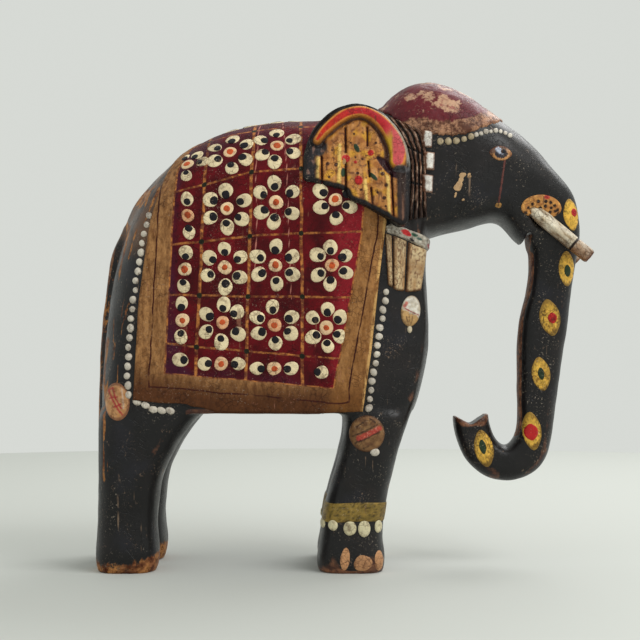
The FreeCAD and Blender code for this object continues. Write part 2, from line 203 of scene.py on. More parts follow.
def worn(n, colour, under, chips=0.5, blotch=0.35, rough=(0.38, 0.62), bump=0.5, specular=0.25,
         specks=0.5, grime=0.55):
    """Old hand paint: grime, brush streaks, fine cracks, scratches, pale specks and chips."""
    blotches = n.noise(55, 5)
    colour = n.mix(n.ramp(blotches, 0.35, 0.68, 0.0, blotch), colour,
                   n.mix(1.0, colour, (0.45, 0.42, 0.42), "MULTIPLY"))
    dirt = n.noise(230, 6, 0.72)
    colour = n.mix(n.ramp(dirt, 0.50, 0.66, 0.0, grime), colour,
                   n.mix(1.0, colour, (0.34, 0.27, 0.25), "MULTIPLY"))
    grain = n.noise(800, 3)
    colour = n.mix(n.ramp(grain, 0.4, 0.7, 0.0, 0.4), colour,
                   n.mix(1.0, colour, (1.5, 1.45, 1.35), "MULTIPLY"))
    cracks = n.math("MULTIPLY", n.ramp(n.seams(300), 0.05, 0.015), n.ramp(n.noise(60, 3), 0.48, 0.58))
    colour = n.mix(n.math("MULTIPLY", cracks, grime), colour,
                   n.mix(1.0, colour, (0.3, 0.24, 0.22), "MULTIPLY"))
    scratches = n.noise(260, 2, 0.6, n.stretched((1, 1, 0.09)))
    streaks = n.noise(90, 4, 0.6)
    bare = n.math("MULTIPLY", n.ramp(scratches, 0.66, 0.72), n.ramp(streaks, 0.45, 0.60))
    flecks = n.noise(620, 5, 0.75)
    chip = n.math("MULTIPLY", n.ramp(flecks, 0.57, 0.62), n.ramp(n.noise(70, 6, 0.7), 0.54, 0.66))
    bare = n.math("MULTIPLY", n.math("MAXIMUM", bare, chip), chips, clamp=True)
    colour = n.mix(bare, colour, under)
    dust = n.math("MULTIPLY", n.ramp(n.noise(900, 4, 0.7), 0.60, 0.66),
                  n.ramp(n.noise(45, 4, 0.7), 0.46, 0.64))
    colour = n.mix(n.math("MULTIPLY", dust, specks), colour, srgb(196, 180, 160))
    roughness = n.ramp(n.math("ADD", n.math("MULTIPLY", blotches, 0.5), n.math("MULTIPLY", grain, 0.5)),
                       0.3, 0.7, *rough)
    height = n.math("SUBTRACT", n.math("MULTIPLY", grain, 0.35), n.math("ADD", bare, cracks))
    n.link(specular, n.shader.inputs["Specular IOR Level"])
    return n.finish(colour, roughness, height, bump)


def black_lacquer():
    """Black paint, worn through to brown wood on edges and where the marks say so."""
    n = Nodes("black_lacquer")
    wear = n.value("wear")
    brown = n.value("brown")
    patches = n.noise(60, 6, 0.65)
    fine = n.noise(420, 4, 0.6)
    ragged = n.math("ADD", n.math("MULTIPLY", patches, 0.6), n.math("MULTIPLY", fine, 0.4))
    edge = n.ramp(n.math("ADD", wear, n.math("MULTIPLY", ragged, 0.9)), 0.94, 1.14)
    runs = n.noise(85, 6, 0.65, n.stretched((1, 1, 0.28)))
    ragged_runs = n.math("ADD", n.math("MULTIPLY", runs, 0.6), n.math("MULTIPLY", fine, 0.4))
    wood_shown = n.ramp(n.math("ADD", brown, ragged_runs), 0.98, 1.10)
    haze = n.noise(26, 4)
    black = n.mix(n.ramp(haze, 0.46, 0.72, 0.0, 0.6), BLACK, srgb(34, 27, 26))
    black = n.mix(n.ramp(n.noise(34, 3, 0.5), 0.55, 0.72, 0.0, 0.5), black, srgb(30, 30, 40))
    grain = n.noise(240, 4, 0.6, n.stretched((0.16, 1, 1)))
    wood = n.mix(n.ramp(grain, 0.35, 0.65), srgb(74, 42, 30), srgb(150, 98, 66))
    wood = n.mix(n.math("MULTIPLY", n.value("gold"), n.ramp(patches, 0.42, 0.56)), wood, srgb(182, 126, 76))
    wood = n.mix(n.ramp(n.noise(210, 5, 0.7), 0.50, 0.60, 0.0, 0.75), wood, srgb(72, 36, 28))
    black = n.mix(n.math("MULTIPLY", n.value("stain"), n.ramp(runs, 0.36, 0.56)), black, srgb(98, 68, 46))
    colour = n.mix(n.math("MULTIPLY", edge, 0.8), black, wood)
    colour = n.mix(wood_shown, colour, wood)
    return worn(n, colour, srgb(128, 104, 84), chips=0.8, blotch=0.25, rough=(0.27, 0.5), bump=0.55,
                specular=n.ramp(wood_shown, 0.0, 1.0, 0.34, 0.03), specks=0.55, grime=0.3)


def painted(name, under=srgb(150, 112, 76), **wear):
    """Paint whose colour is dabbed on point by point."""
    n = Nodes(name)
    return worn(n, n.colour("paint"), under, **wear)


PINSTRIPE_OUT = 8.6                                 # the border's dark line, out from the field's edge


def cloth_paint():
    """Crimson field ruled in gold, in a brown ochre border with a dark line, with painted shade along the
    border's bottom and a painted highlight along its front edge.
    """
    n = Nodes("cloth_paint")
    field = n.value("field")
    wobble = n.math("MULTIPLY", n.math("SUBTRACT", n.noise(120, 3), 0.5), 1.6)
    inside = n.ramp(n.math("ADD", field, wobble), -0.25, 0.25)

    def from_line(line, spacing):
        nearest = n.math("ABSOLUTE", n.math("SUBTRACT", line, n.math("ROUND", line)))
        return n.math("ADD", n.math("MULTIPLY", nearest, spacing), n.math("MULTIPLY", wobble, 0.3))

    from_column = from_line(n.value("column"), n.value("column_width"))
    from_row = from_line(n.value("row"), n.value("row_width"))
    columns = n.ramp(from_column, 1.2, 0.6)
    rows = n.ramp(from_row, 0.9, 0.4)
    worn_away = n.ramp(n.noise(140, 5, 0.7), 0.32, 0.50)
    lines = n.math("MULTIPLY", n.math("MAXIMUM", columns, n.math("MULTIPLY", rows, 0.85)), worn_away)
    knot_away = n.math("SQRT", n.math("ADD", n.math("MULTIPLY", from_column, from_column),
                                      n.math("MULTIPLY", from_row, from_row)))
    knots = n.math("MULTIPLY", n.ramp(knot_away, 1.9, 1.3), n.ramp(field, 3.0, 5.0))
    purple = n.ramp(n.math("ADD", n.value("dusk"), n.math("MULTIPLY", n.noise(45, 5), 0.9)), 0.75, 1.15)
    red = n.mix(n.ramp(n.noise(38, 4, 0.6), 0.38, 0.64), srgb(70, 4, 11), srgb(106, 7, 18))
    red = n.mix(n.ramp(n.math("ADD", n.value("faded"), n.noise(90, 5)), 0.8, 1.3, 0.0, 0.8), red,
                srgb(146, 28, 40))
    red = n.mix(purple, red, MAROON)
    red = n.mix(lines, red, n.mix(n.ramp(n.noise(300, 3), 0.4, 0.6), GOLD, srgb(112, 60, 38)))
    red = n.mix(knots, red, srgb(30, 32, 20))
    grain = n.noise(330, 5, 0.7, n.stretched((1, 1, 0.3)))
    ochre = n.mix(n.ramp(grain, 0.3, 0.7), srgb(112, 72, 39), srgb(174, 127, 80))
    # painted shade: the ochre darkens over the lowest 6 to 24 units of the border, standing for the shade
    # along the cloth's bottom
    low = n.ramp(n.value("low_edge"), 6.0, 24.0)
    ochre = n.mix(low, n.mix(grain, srgb(60, 31, 15), srgb(104, 62, 32)), ochre)
    forward = n.value("front_edge")
    ochre = n.mix(n.ramp(forward, 26.0, 16.0, 0.0, 0.30), ochre, srgb(160, 108, 52))
    # painted highlight: a thin pale line along the border's front edge, where the raised edge catches the
    # light
    ochre = n.mix(n.math("MULTIPLY", n.ramp(forward, 2.2, 1.0), n.ramp(grain, 0.40, 0.55)), ochre,
                  srgb(206, 162, 100))
    from_stripe = n.math("ABSOLUTE", n.math("ADD", field, n.math("ADD", PINSTRIPE_OUT, wobble)))
    pinstripe = n.ramp(from_stripe, 0.62, 0.3)
    ochre = n.mix(n.math("MULTIPLY", pinstripe, n.ramp(n.noise(60, 3), 0.3, 0.5)), ochre, OCHRE_DARK)
    crack = n.value("crack")
    colour = n.mix(inside, ochre, red)
    colour = n.mix(n.ramp(n.math("ADD", crack, n.math("MULTIPLY", wobble, 0.35)), 0.6, 0.2), colour,
                   srgb(176, 112, 100))
    return worn(n, colour, srgb(156, 104, 80), chips=0.6, blotch=0.35, rough=(0.45, 0.68), bump=0.6,
                specular=0.14, specks=0.35)


def cap_paint():
    """Maroon cap rubbed off to tan on its crest, with a mottled brown and tan rim."""
    n = Nodes("cap_paint")
    patches = n.noise(75, 7, 0.72)
    mottle = n.noise(170, 6, 0.75)
    red = n.mix(n.noise(60, 4), srgb(112, 22, 34), srgb(78, 28, 34))
    tan = n.mix(n.ramp(mottle, 0.42, 0.58), srgb(176, 130, 100), srgb(92, 54, 38))
    rubbed = n.ramp(n.math("ADD", patches, n.math("MULTIPLY", n.value("crest"), 0.17)), 0.59, 0.65)
    rim_share = n.ramp(n.math("ADD", n.value("rim"), n.math("MULTIPLY", patches, 9.0)), 14.2, 12.6)
    pale = n.mix(n.ramp(mottle, 0.5, 0.6), srgb(188, 148, 120), srgb(146, 86, 74))
    colour = n.mix(rubbed, red, pale)
    colour = n.mix(rim_share, colour, tan)
    return worn(n, colour, srgb(196, 156, 124), chips=0.8, rough=(0.34, 0.58), bump=0.7, specular=0.25)


# ---------------------------------------------------------------- mesh helpers
def new_object(name, points, faces, material):
    mesh = bpy.data.meshes.new(name)
    mesh.from_pydata([tuple(p) for p in points], [], [tuple(f) for f in faces])
    mesh.validate()
    mesh.shade_smooth()
    obj = bpy.data.objects.new(name, mesh)
    bpy.context.scene.collection.objects.link(obj)
    mesh.materials.append(material)
    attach(obj, "root")
    return obj


def slab_faces(width, height):
    """Faces of a closed slab between two grids of points, the outer grid first."""
    grid = np.arange(width * height).reshape(height, width)
    front = [(grid[j, i], grid[j, i + 1], grid[j + 1, i + 1], grid[j + 1, i])
             for j in range(height - 1) for i in range(width - 1)]
    back = [tuple(i + grid.size for i in reversed(face)) for face in front]
    rim = list(grid[0, :]) + list(grid[1:, -1]) + list(grid[-1, -2::-1]) + list(grid[-2:0:-1, 0])
    walls = [(b, a, a + grid.size, b + grid.size) for a, b in zip(rim, rim[1:] + rim[:1])]
    return front + back + walls


def fan_faces(rings, count):
    """Faces of a closed disc: a hub, rings of points outward, the foot ring and a hub below."""
    faces = [(0, 1 + i, 1 + (i + 1) % count) for i in range(count)]
    for ring in range(rings):
        start = 1 + ring * count
        faces += [(start + i, start + count + i, start + count + (i + 1) % count, start + (i + 1) % count)
                  for i in range(count)]
    last = 1 + rings * count
    return faces + [(last + (i + 1) % count, last + i, last + count) for i in range(count)]


def set_values(obj, name, values):
    attribute = obj.data.attributes.new(name, "FLOAT", "POINT")
    attribute.data.foreach_set("value", np.asarray(values, np.float32).ravel())


def set_paint(obj, colours):
    attribute = obj.data.color_attributes.new("paint", "FLOAT_COLOR", "POINT")
    rgba = np.ones((len(obj.data.vertices), 4), np.float32)
    rgba[:, :3] = colours
    attribute.data.foreach_set("color", rgba.ravel())


def smoothstep(value, start, end):
    share = np.clip((np.asarray(value, float) - start) / (end - start), 0, 1)
    return share * share * (3 - 2 * share)


def noise_at(points, scale, seed=0.0):
    """Smooth noise, about -1 to 1, at points in design units."""
    shift = Vector((seed, seed * 1.7, -seed))
    return np.array([noise.noise(Vector(p) / scale + shift) for p in points])


class Batch:
    """Many small closed pieces gathered into one mesh, with a colour at each point."""

    def __init__(self):
        self.points, self.faces, self.colours = [], [], []

    def add(self, points, faces, colours):
        start = len(self.points)
        self.points += [tuple(p) for p in points]
        self.faces += [tuple(i + start for i in face) for face in faces]
        self.colours += [tuple(c) for c in colours]

    def build(self, name, material, slot_name, *nodes):
        points = [Vector(p) * MM for p in self.points]
        obj = new_object(name, points, self.faces, material)
        set_paint(obj, np.array(self.colours))
        if nodes:
            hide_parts(*nodes)
        return obj


# ---------------------------------------------------------------- the carved wood
def joined_copy(names):
    """One mesh of several CAD nodes, remeshed into a single skin."""
    mesh = bpy.data.meshes.new("wood_source")
    builder = bmesh.new()
    for name in names:
        builder.from_mesh(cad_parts[name].data)
    builder.to_mesh(mesh)
    builder.free()
    source = bpy.data.objects.new("wood_source", mesh)
    bpy.context.scene.collection.objects.link(source)
    remesh = source.modifiers.new("skin", "REMESH")
    remesh.mode = "VOXEL"
    remesh.voxel_size = SKIN_VOXEL
    evaluated = source.evaluated_get(bpy.context.evaluated_depsgraph_get())
    skin = evaluated.to_mesh()
    points = np.empty(len(skin.vertices) * 3)
    skin.vertices.foreach_get("co", points)
    faces = [tuple(face.vertices) for face in skin.polygons]
    evaluated.to_mesh_clear()
    bpy.data.objects.remove(source)
    bpy.data.meshes.remove(mesh)
    return points.reshape(-1, 3) / MM, faces


def edge_pairs(faces):
    quads = np.array([face if len(face) == 4 else face + (face[0],) for face in faces])
    pairs = np.concatenate([quads[:, [i, (i + 1) % 4]] for i in range(4)])
    pairs = np.sort(pairs, axis=1)
    pairs = pairs[pairs[:, 0] != pairs[:, 1]]
    return np.unique(pairs, axis=0)


def neighbour_mean(points, pairs):
    total = np.zeros_like(points)
    count = np.zeros(len(points))
    for a, b in ((0, 1), (1, 0)):
        np.add.at(total, pairs[:, a], points[pairs[:, b]])
        np.add.at(count, pairs[:, a], 1)
    return total / np.maximum(count, 1)[:, None]


def relaxed(points, pairs, rounds, shrink=0.55, grow=-0.57):
    """Smoothing that keeps the volume."""
    for _ in range(rounds):
        for factor in (shrink, grow):
            points = points + factor * (neighbour_mean(points, pairs) - points)
    return points


def point_normals(points, faces):
    quads = np.array([face if len(face) == 4 else face + (face[-1],) for face in faces])
    across = points[quads[:, 2]] - points[quads[:, 0]]
    other = points[quads[:, 3]] - points[quads[:, 1]]
    face_normals = np.cross(across, other)
    normals = np.zeros_like(points)
    for i in range(4):
        np.add.at(normals, quads[:, i], face_normals)
    return normals / np.maximum(np.linalg.norm(normals, axis=1), 1e-9)[:, None]


skin_points, skin_faces = joined_copy(WOOD_NODES)
skin_pairs = edge_pairs(skin_faces)
skin_points = relaxed(skin_points, skin_pairs, RELAX_ROUNDS)
above_tail = smoothstep(skin_points[:, 2], 258, 216) * (skin_points[:, 2] > TAIL_ROOT_Z - 1)
above_tail *= smoothstep(np.abs(skin_points[:, 1]), 17, 4) * (skin_points[:, 0] < -100)
skin_points += point_normals(skin_points, skin_faces) * (TAIL_ROOT_RISE * above_tail)[:, None]
flush = np.exp(-((skin_points[:, 2] - leg_top) / 4.5) ** 2) * (np.abs(skin_points[:, 1]) > 22)
flush *= (skin_points[:, 0] < -96) | (skin_points[:, 0] > -14)
tail_root = np.exp(-((skin_points[:, 2] - TAIL_ROOT_Z) / 12) ** 2) * (skin_points[:, 0] < -110)
flush = np.maximum(flush, tail_root * smoothstep(np.abs(skin_points[:, 1]), 22, 10))
for _ in range(FLUSH_ROUNDS):
    skin_points += 0.5 * flush[:, None] * (neighbour_mean(skin_points, skin_pairs) - skin_points)
skin_normals = point_normals(skin_points, skin_faces)
carving = 0.42 * noise_at(skin_points, 26, 3) + 0.22 * noise_at(skin_points, 9, 5)
skin_points = skin_points + skin_normals * carving[:, None]
skin_points[:, 2] = np.maximum(skin_points[:, 2], 0)
skin_normals = point_normals(skin_points, skin_faces)
bulge = skin_points - relaxed(skin_points, skin_pairs, 1, 0.9, 0.9)
for _ in range(5):
    bulge = neighbour_mean(bulge, skin_pairs)
skin_wear = np.clip(np.einsum("ij,ij->i", bulge, skin_normals) * 9, 0, 1) * (1 - flush)
for lip_x, lip_z, size, kept in WEAR_SPARED:
    near = np.exp(-((skin_points[:, 0] - lip_x) ** 2 + (skin_points[:, 2] - lip_z) ** 2) / size ** 2)
    skin_wear *= 1 - near * (1 - kept)
on_trunk = (skin_points[:, 0] > TRUNK_INNER_X - 4) & (skin_points[:, 2] < 205) & (skin_normals[:, 0] < 0.3)
skin_wear[on_trunk] *= 0.35
skin_tree = BVHTree.FromPolygons([Vector(p) for p in skin_points], skin_faces)


def face_normal(face):
    """The smooth normal of the wood at one of its faces."""
    normal = skin_normals[list(skin_faces[face])].mean(axis=0)
    return normal / np.linalg.norm(normal)


def on_skin(place):
    """Nearest place on the wood, and its smooth normal."""
    hit, _, face, _ = skin_tree.find_nearest(Vector(place))
    return np.array(hit), face_normal(face)


def from_side(x, z, side):
    """Where a ray across the body leaves it on one side, and the normal there."""
    start = Vector((x, side * RAY_START, z))
    hit, _, face, _ = skin_tree.ray_cast(start, Vector((0, -side, 0)))
    if hit is None or hit.y * side < 0:
        by_a_leg = z < leg_top and x < chest_x
        return on_skin((x, side * (LEG_MIDDLE_Y if by_a_leg else CAST_FROM), z))
    return np.array(hit), face_normal(face)


# ---------------------------------------------------------------- wood, one closed piece per block
def plane_side(points, low, high):
    """Signed distance from the upright plane through two (x, z) points; positive in front."""
    along = np.array([high[0] - low[0], high[1] - low[1]])
    normal = np.array([along[1], -along[0]]) / np.linalg.norm(along)
    return (points[:, 0] - low[0]) * normal[0] + (points[:, 2] - low[1]) * normal[1]


NECK_LINE = ((55, 207), (26, 289.5))                # joint planes of the CAD blocks, as (x, z)
TRUNK_LINE = ((119.5, 193), (151.5, 214))
LEG_CUT = leg_top - 1.6                             # just under the belly's flat face
TRUNK_FROM_X = chest_x + 6                          # everything of the trunk is in front of this
HIND_FRONT_X = -50                                  # between the hind legs and the fore legs


def sort_wood(points):
    """A piece number for each point, in the order of WOOD_PIECES."""
    x, y, z = points.T
    kind = np.where(x < joint_x, 0, 1)
    kind[(plane_side(points, *NECK_LINE) > 0) & (z > 150)] = 2
    kind[(plane_side(points, *TRUNK_LINE) > 0) & (x > TRUNK_FROM_X)] = 3
    leg = (z < LEG_CUT) & (kind < 2)
    tail = (x < tail_tip_x) & leg & (np.abs(y) < 9)
    kind[leg & (x < HIND_FRONT_X) & (y > 0)] = 4
    kind[leg & (x < HIND_FRONT_X) & (y < 0)] = 5
    kind[leg & (x > HIND_FRONT_X) & (y > 0)] = 6
    kind[leg & (x > HIND_FRONT_X) & (y < 0)] = 7
    kind[tail] = 0
    return kind


WOOD_PIECES = (("rear_body", ("torso_rear_block", "tail")), ("front_body", ("torso_front_block",)),
               ("head", ("head_block",)), ("trunk_carved", ("trunk",)),
               ("hind_leg_l", ("hind_leg_left",)), ("hind_leg_r", ("hind_leg_right",)),
               ("fore_leg_l", ("fore_leg_left",)), ("fore_leg_r", ("fore_leg_right",)))


def brown_marks(points, normals):
    """How strongly the black is worn to brown: feet, rump, tail and the trunk's inner face."""
    x, y, z = points.T
    turn = -normals[:, 0]
    foot = smoothstep(z, 22, 1) * np.where(x < HIND_FRONT_X, 0.62, 0.30)
    foot = foot + smoothstep(z, 26, 2) * smoothstep(x, -128, -114) * (x < -60) * 0.35
    rump = smoothstep(x, -126, -146) * smoothstep(z, 236, 190) * 0.36
    rear = smoothstep(turn, 0.35, 0.85) * (x < -100) * smoothstep(z, 30, 60) * 0.36
    tail = smoothstep(np.abs(y), 7, 4) * smoothstep(x, -147, -151) * 0.45
    runs = smoothstep(noise_at(np.stack([turn * 60, 0 * y, z * 0.16], 1), 4, 17), -0.02, 0.30)
    haunch = smoothstep(z, 192, 210) * smoothstep(z, 250, 236) * smoothstep(x, -106, -116)
    hip_edge = smoothstep(turn, 0.26, 0.48) * smoothstep(x, -124, -132) * smoothstep(z, 44, 60)
    streaks = np.maximum(haunch * 0.70, hip_edge * 0.62) * runs
    trunk = (x > TRUNK_INNER_X) & (z < 212) & ((z < 200) | (x > LIP_X))
    inner = smoothstep(turn, 0.84, 0.95) * smoothstep(z, 66, 76) * trunk
    curl = smoothstep(-normals[:, 2], 0.55, 0.95) * (z < 80) * (x > TRUNK_FROM_X) * 0.42
    return np.maximum.reduce([foot, rump, rear, tail, streaks, inner * 0.95, curl])


def gold_marks(points, normals):
    """Where worn wood shows orange: down the back of the rump and the hind legs."""
    x, y, z = points.T
    return smoothstep(normals[:, 0], -0.15, -0.5) * (x < -100) + smoothstep(z, 18, 8) * (x < -100)


def haunch_stain(points):
    """Where the black is thin and brownish: the top of the haunch behind the cloth."""
    x, _, z = points.T
    return smoothstep(z, 190, 210) * smoothstep(z, 262, 244) * smoothstep(x, -100, -112)


def wood_pieces():
    faces = np.array([face if len(face) == 4 else face + (face[-1],) for face in skin_faces])
    centres = skin_points[faces].mean(axis=1)
    kinds = sort_wood(centres)
    lacquer = black_lacquer()
    marks = {"wear": skin_wear, "brown": brown_marks(skin_points, skin_normals),
             "gold": gold_marks(skin_points, skin_normals), "stain": haunch_stain(skin_points)}
    for number, (name, nodes) in enumerate(WOOD_PIECES):
        own = [skin_faces[i] for i in np.nonzero(kinds == number)[0]]
        used = np.unique([i for face in own for i in face])
        renumber = {old: new for new, old in enumerate(used)}
        own = [tuple(renumber[i] for i in face) for face in own]
        points = [Vector(p) * MM for p in skin_points[used]]
        count = len(points)
        edges = {}
        for face in own:
            for a, b in zip(face, face[1:] + face[:1]):
                edges[(a, b)] = edges.get((a, b), 0) + 1
        rim = {b: a for a, b in edges if (b, a) not in edges}
        caps = []                                   # close each cut face with a fan
        while rim:
            start, following = rim.popitem()
            loop = [start, following]
            while loop[-1] in rim:
                loop.append(rim.pop(loop[-1]))
            loop = loop[:-1] if loop[-1] == loop[0] else loop
            middle = sum((points[i] for i in loop), Vector()) / len(loop)
            points.append(middle)
            caps += [(a, b, len(points) - 1) for a, b in zip(loop, loop[1:] + loop[:1])]
        obj = new_object(name, points, own + caps, lacquer)
        normals = [tuple(p) for p in skin_normals[used]] + [(0, 0, 1)] * (len(points) - count)
        obj.data.normals_split_custom_set_from_vertices(normals)
        for mark, values in marks.items():
            set_values(obj, mark, np.concatenate([values[used], np.zeros(len(points) - count)]))
        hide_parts(*nodes)


wood_pieces()


# ---------------------------------------------------------------- the saddle cloth
GIRTH_X = np.linspace(-140, 45, 63)                 # stations along the barrel
GIRTH_TURNS = np.linspace(-62, 90, 70)              # degrees from level, belly to ridge
GIRTH_STEP = 2.0                                    # spacing of the even girth table
GIRTH_ROWS = 116


def girth_table(side):
    """Skin places at even steps of girth from the leg plane up, for each x, and the half girths."""
    table, halves = [], []
    for x in GIRTH_X:
        run = []
        for turn in np.radians(GIRTH_TURNS):
            direction = Vector((0, side * math.cos(turn), math.sin(turn)))
            hit = skin_tree.ray_cast(Vector((x, 0, AXIS_Z)) + direction * BARREL_RAY_START, -direction)[0]
            if hit is not None and hit.z >= leg_top - 0.5:
                run.append(np.array(hit))
        run = np.array(run)
        length = np.concatenate([[0], np.cumsum(np.linalg.norm(np.diff(run, axis=0), axis=1))])
        length += run[0][2] - leg_top
        halves.append(length[-1])
        steps = np.arange(GIRTH_ROWS) * GIRTH_STEP
        table.append(np.stack([np.interp(steps, length, run[:, i]) for i in range(3)], axis=1))
    return np.array(table), np.array(halves)


GIRTHS = {side: girth_table(side) for side in (RIGHT, LEFT)}


def half_girth(x, side):
    return np.interp(x, GIRTH_X, GIRTHS[side][1])


def on_barrel(x, girth, side):
    """The skin at x, that far up the side from the leg plane, before it is snapped to the wood."""
    table = GIRTHS[side][0]
    i = np.clip((x - GIRTH_X[0]) / (GIRTH_X[1] - GIRTH_X[0]), 0, len(GIRTH_X) - 1.001)
    j = np.clip(girth / GIRTH_STEP, 0, GIRTH_ROWS - 1.001)
    i0, j0 = int(i), int(j)
    fi, fj = i - i0, j - j0
    low = table[i0][j0] * (1 - fj) + table[i0][j0 + 1] * fj
    high = table[i0 + 1][j0] * (1 - fj) + table[i0 + 1][j0 + 1] * fj
    return low * (1 - fi) + high * fi


# Lines drawn on the cloth, as (girth, x) for columns and (x, girth) for rows.
REAR_EDGE = ((8, -128), (68, -124.4), (120, -117), (150, -109), (212, -90))
FRONT_EDGE = ((0, 12), (12, 13.6), (39, 17.4), (80, 21.8), (121, 26.6), (165, 25), (212, 20.5))
LOW_EDGE = ((-128, 8.5), (-86, 4.0), (-77, 1.5), (12, 1.3))
COLUMNS = (((20, -109.5), (110, -104.5), (150, -102), (212, -84)),
           ((20, -90), (212, -81)),
           ((16, -59.5), (212, -53.5)),
           ((16, -24.5), (212, -26)),
           ((16, -5), (110, 12), (212, 18)))
ROWS = (((-110, 25), (-5, 15.8)),
        ((-110, 43), (-5, 34)),
        ((-110, 72.7), (-5, 71.5)),
        ((-110, 102.5), (-50, 109.5), (5, 111.5)),
        ((-106, 135), (-55, 148), (5, 152)),
        ((-100, 178), (0, 186)))
CLOTH_ACROSS, CLOTH_UP = 128, 176                   # grid of one half of the cloth
ROUGH_HALF_GIRTH = 205                              # a first guess, to place a station before its own girth
FIELD_RISE, BORDER_RISE, CLOTH_SINK = 0.8, 1.35, 0.7
CRACKS = (((-51, 197), (-53, 150), (-52.3, 120), (-53.6, 88)),
          ((-37.5, 195), (-34.5, 156), (-33.2, 120), (-31.4, 70)))


def line_at(line, value):
    along, across = zip(*line)
    return np.interp(value, along, across)


def cloth_marks(x, girth, ridge):
    """Pattern coordinates of a place on the cloth."""
    sway = 0.55 * noise.noise(Vector((x / 17, girth / 17, 2.0)))
    x, girth = x + sway, girth + 0.55 * noise.noise(Vector((x / 17, girth / 17, 7.0)))
    columns = [line_at(line, girth) for line in COLUMNS]
    rows = [line_at(line, x) for line in ROWS] + [ridge]
    column = np.interp(x, columns, range(len(columns)))
    row = np.interp(girth, rows, range(len(rows)))
    i = min(int(column), len(columns) - 2)
    j = min(int(row), len(rows) - 2)
    field = min(x - columns[0], columns[-1] - x, girth - rows[0])
    crack = min(abs(x - line_at(((g, cx) for cx, g in reversed(points)), girth))
                + max(0, points[-1][1] - girth) for points in CRACKS)
    return (field, column, columns[i + 1] - columns[i], row, rows[j + 1] - rows[j], crack)


def saddle_cloth():
    points, outward, values = [], [], []
    ups = [(RIGHT, i / CLOTH_UP) for i in range(CLOTH_UP + 1)]
    ups += [(LEFT, 1 - i / CLOTH_UP) for i in range(1, CLOTH_UP + 1)]
    for side, up in ups:
        for i in range(CLOTH_ACROSS + 1):
            across = i / CLOTH_ACROSS
            rough_girth = up * ROUGH_HALF_GIRTH
            x = line_at(REAR_EDGE, rough_girth) * (1 - across) + line_at(FRONT_EDGE, rough_girth) * across
            low = line_at(LOW_EDGE, x)
            ridge = half_girth(x, side)
            girth = low + (ridge - low) * up
            x = line_at(REAR_EDGE, girth) * (1 - across) + line_at(FRONT_EDGE, girth) * across
            place, normal = on_skin(on_barrel(x, girth, side))
            marks = cloth_marks(x, girth, ridge)
            dusk = 0.62 * smoothstep(x, -88, -106) + 0.4 * smoothstep(girth, 36, 24)
            dusk += 0.5 * smoothstep(girth, 130, 170)
            points.append(place)
            outward.append(normal)
            faded = smoothstep(x, -24, 12) * smoothstep(girth, 150, 110)
            values.append((*marks, dusk, girth - low, line_at(FRONT_EDGE, girth) - x, faded))
    points, outward, values = np.array(points), np.array(outward), np.array(values)
    field = values[:, 0]
    rise = BORDER_RISE + (FIELD_RISE - BORDER_RISE) * smoothstep(field, -1.0, 1.2)
    rise += 0.12 * noise_at(points, 8, 4)
    width = CLOTH_ACROSS + 1
    outer = points + outward * rise[:, None]
    inner = points - outward * CLOTH_SINK
    cloth = new_object("saddle_cloth_gesso", np.concatenate([outer, inner]) * MM,
                       slab_faces(width, len(ups)), cloth_paint())
    doubled = np.concatenate([values, values])
    names = ("field", "column", "column_width", "row", "row_width", "crack", "dusk", "low_edge", "front_edge",
             "faded")
    for i, name in enumerate(names):
        set_values(cloth, name, doubled[:, i])
    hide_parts("saddle_cloth", "cloth_border")


saddle_cloth()


# ---------------------------------------------------------------- dabs of thick paint
def dab(batch, place, outline, rise, base, colour, rings=(0.0, 0.55, 0.85, 1.0), tint=0.10, count=18):
    """A raised dab. place(u, v) gives the skin and normal at an offset from the dab's centre;
    outline(angle) is its radius; base is the height that it stands on."""
    shade = 1 + rng.uniform(-tint, tint)

    def paint(u, v):
        return tuple(min(1, c * shade) for c in (colour(u, v) if callable(colour) else colour))

    point, normal = place(0, 0)
    points, colours = [point + normal * (base + rise)], [paint(0, 0)]
    for ring in rings[1:]:
        lift = rise * math.sqrt(max(0, 1 - ring ** 3))
        for i in range(count):
            angle = 2 * math.pi * i / count
            radius = outline(angle) * ring
            point, normal = place(radius * math.cos(angle), radius * math.sin(angle))
            points.append(point + normal * (base + lift))
            colours.append(paint(radius * math.cos(angle), radius * math.sin(angle)))
    for i in range(count):
        angle = 2 * math.pi * i / count
        radius = outline(angle)
        point, normal = place(radius * math.cos(angle), radius * math.sin(angle))
        points.append(point + normal * (base - 0.5))
    point, normal = place(0, 0)
    points.append(point + normal * (base - 0.5))
    batch.add(points, fan_faces(len(rings) - 1, count), colours + colours[-count:] + colours[:1])


def blob(radius, wobble=0.10, long=1.0, turn=0.0):
    """A hand-dabbed round outline, drawn out by long along turn."""
    phases = [rng.uniform(0, 2 * math.pi) for _ in range(3)]

    def outline(angle):
        ripple = sum(math.sin((k + 2) * angle + phase) / (k + 1.5) for k, phase in enumerate(phases))
        stretch = 1 / math.sqrt(math.cos(angle - turn) ** 2 / long ** 2 + math.sin(angle - turn) ** 2)
        return radius * stretch * (1 + wobble * ripple)

    return outline


def leaf(half_width, half_length, turn=0.0, tail=0.0):
    """A pointed leaf outline along turn."""

    def outline(angle):
        a = angle - turn
        c, s = abs(math.cos(a)), abs(math.sin(a))
        oval = 1 / math.sqrt((c / half_length) ** 2 + (s / half_width) ** 2)
        return oval * (1 + 0.16 * c ** 24) * (1 + tail * math.cos(a))

    return outline


def barrel_place(x, girth, side):
    """A place function for dabs on the cloth, with u forward and v up."""

    def place(u, v):
        ridge = half_girth(x + u, side)
        up = girth + v
        if up > ridge:
            return on_skin(on_barrel(x + u, 2 * ridge - up, -side))
        return on_skin(on_barrel(x + u, up, side))

    return place


def side_place(x, z, side):
    """A place function for dabs seen square from the side."""
    return lambda u, v: from_side(x + u, z + v, side)


PETAL_R, PUPIL_R, HEART_R, HEART_DOT_R = 4.3, 2.5, 4.2, 2.1
PETAL_OUT, PUPIL_IN = 11.5, 2.2
PETAL_RISE, PUPIL_RISE = 0.42, 0.30


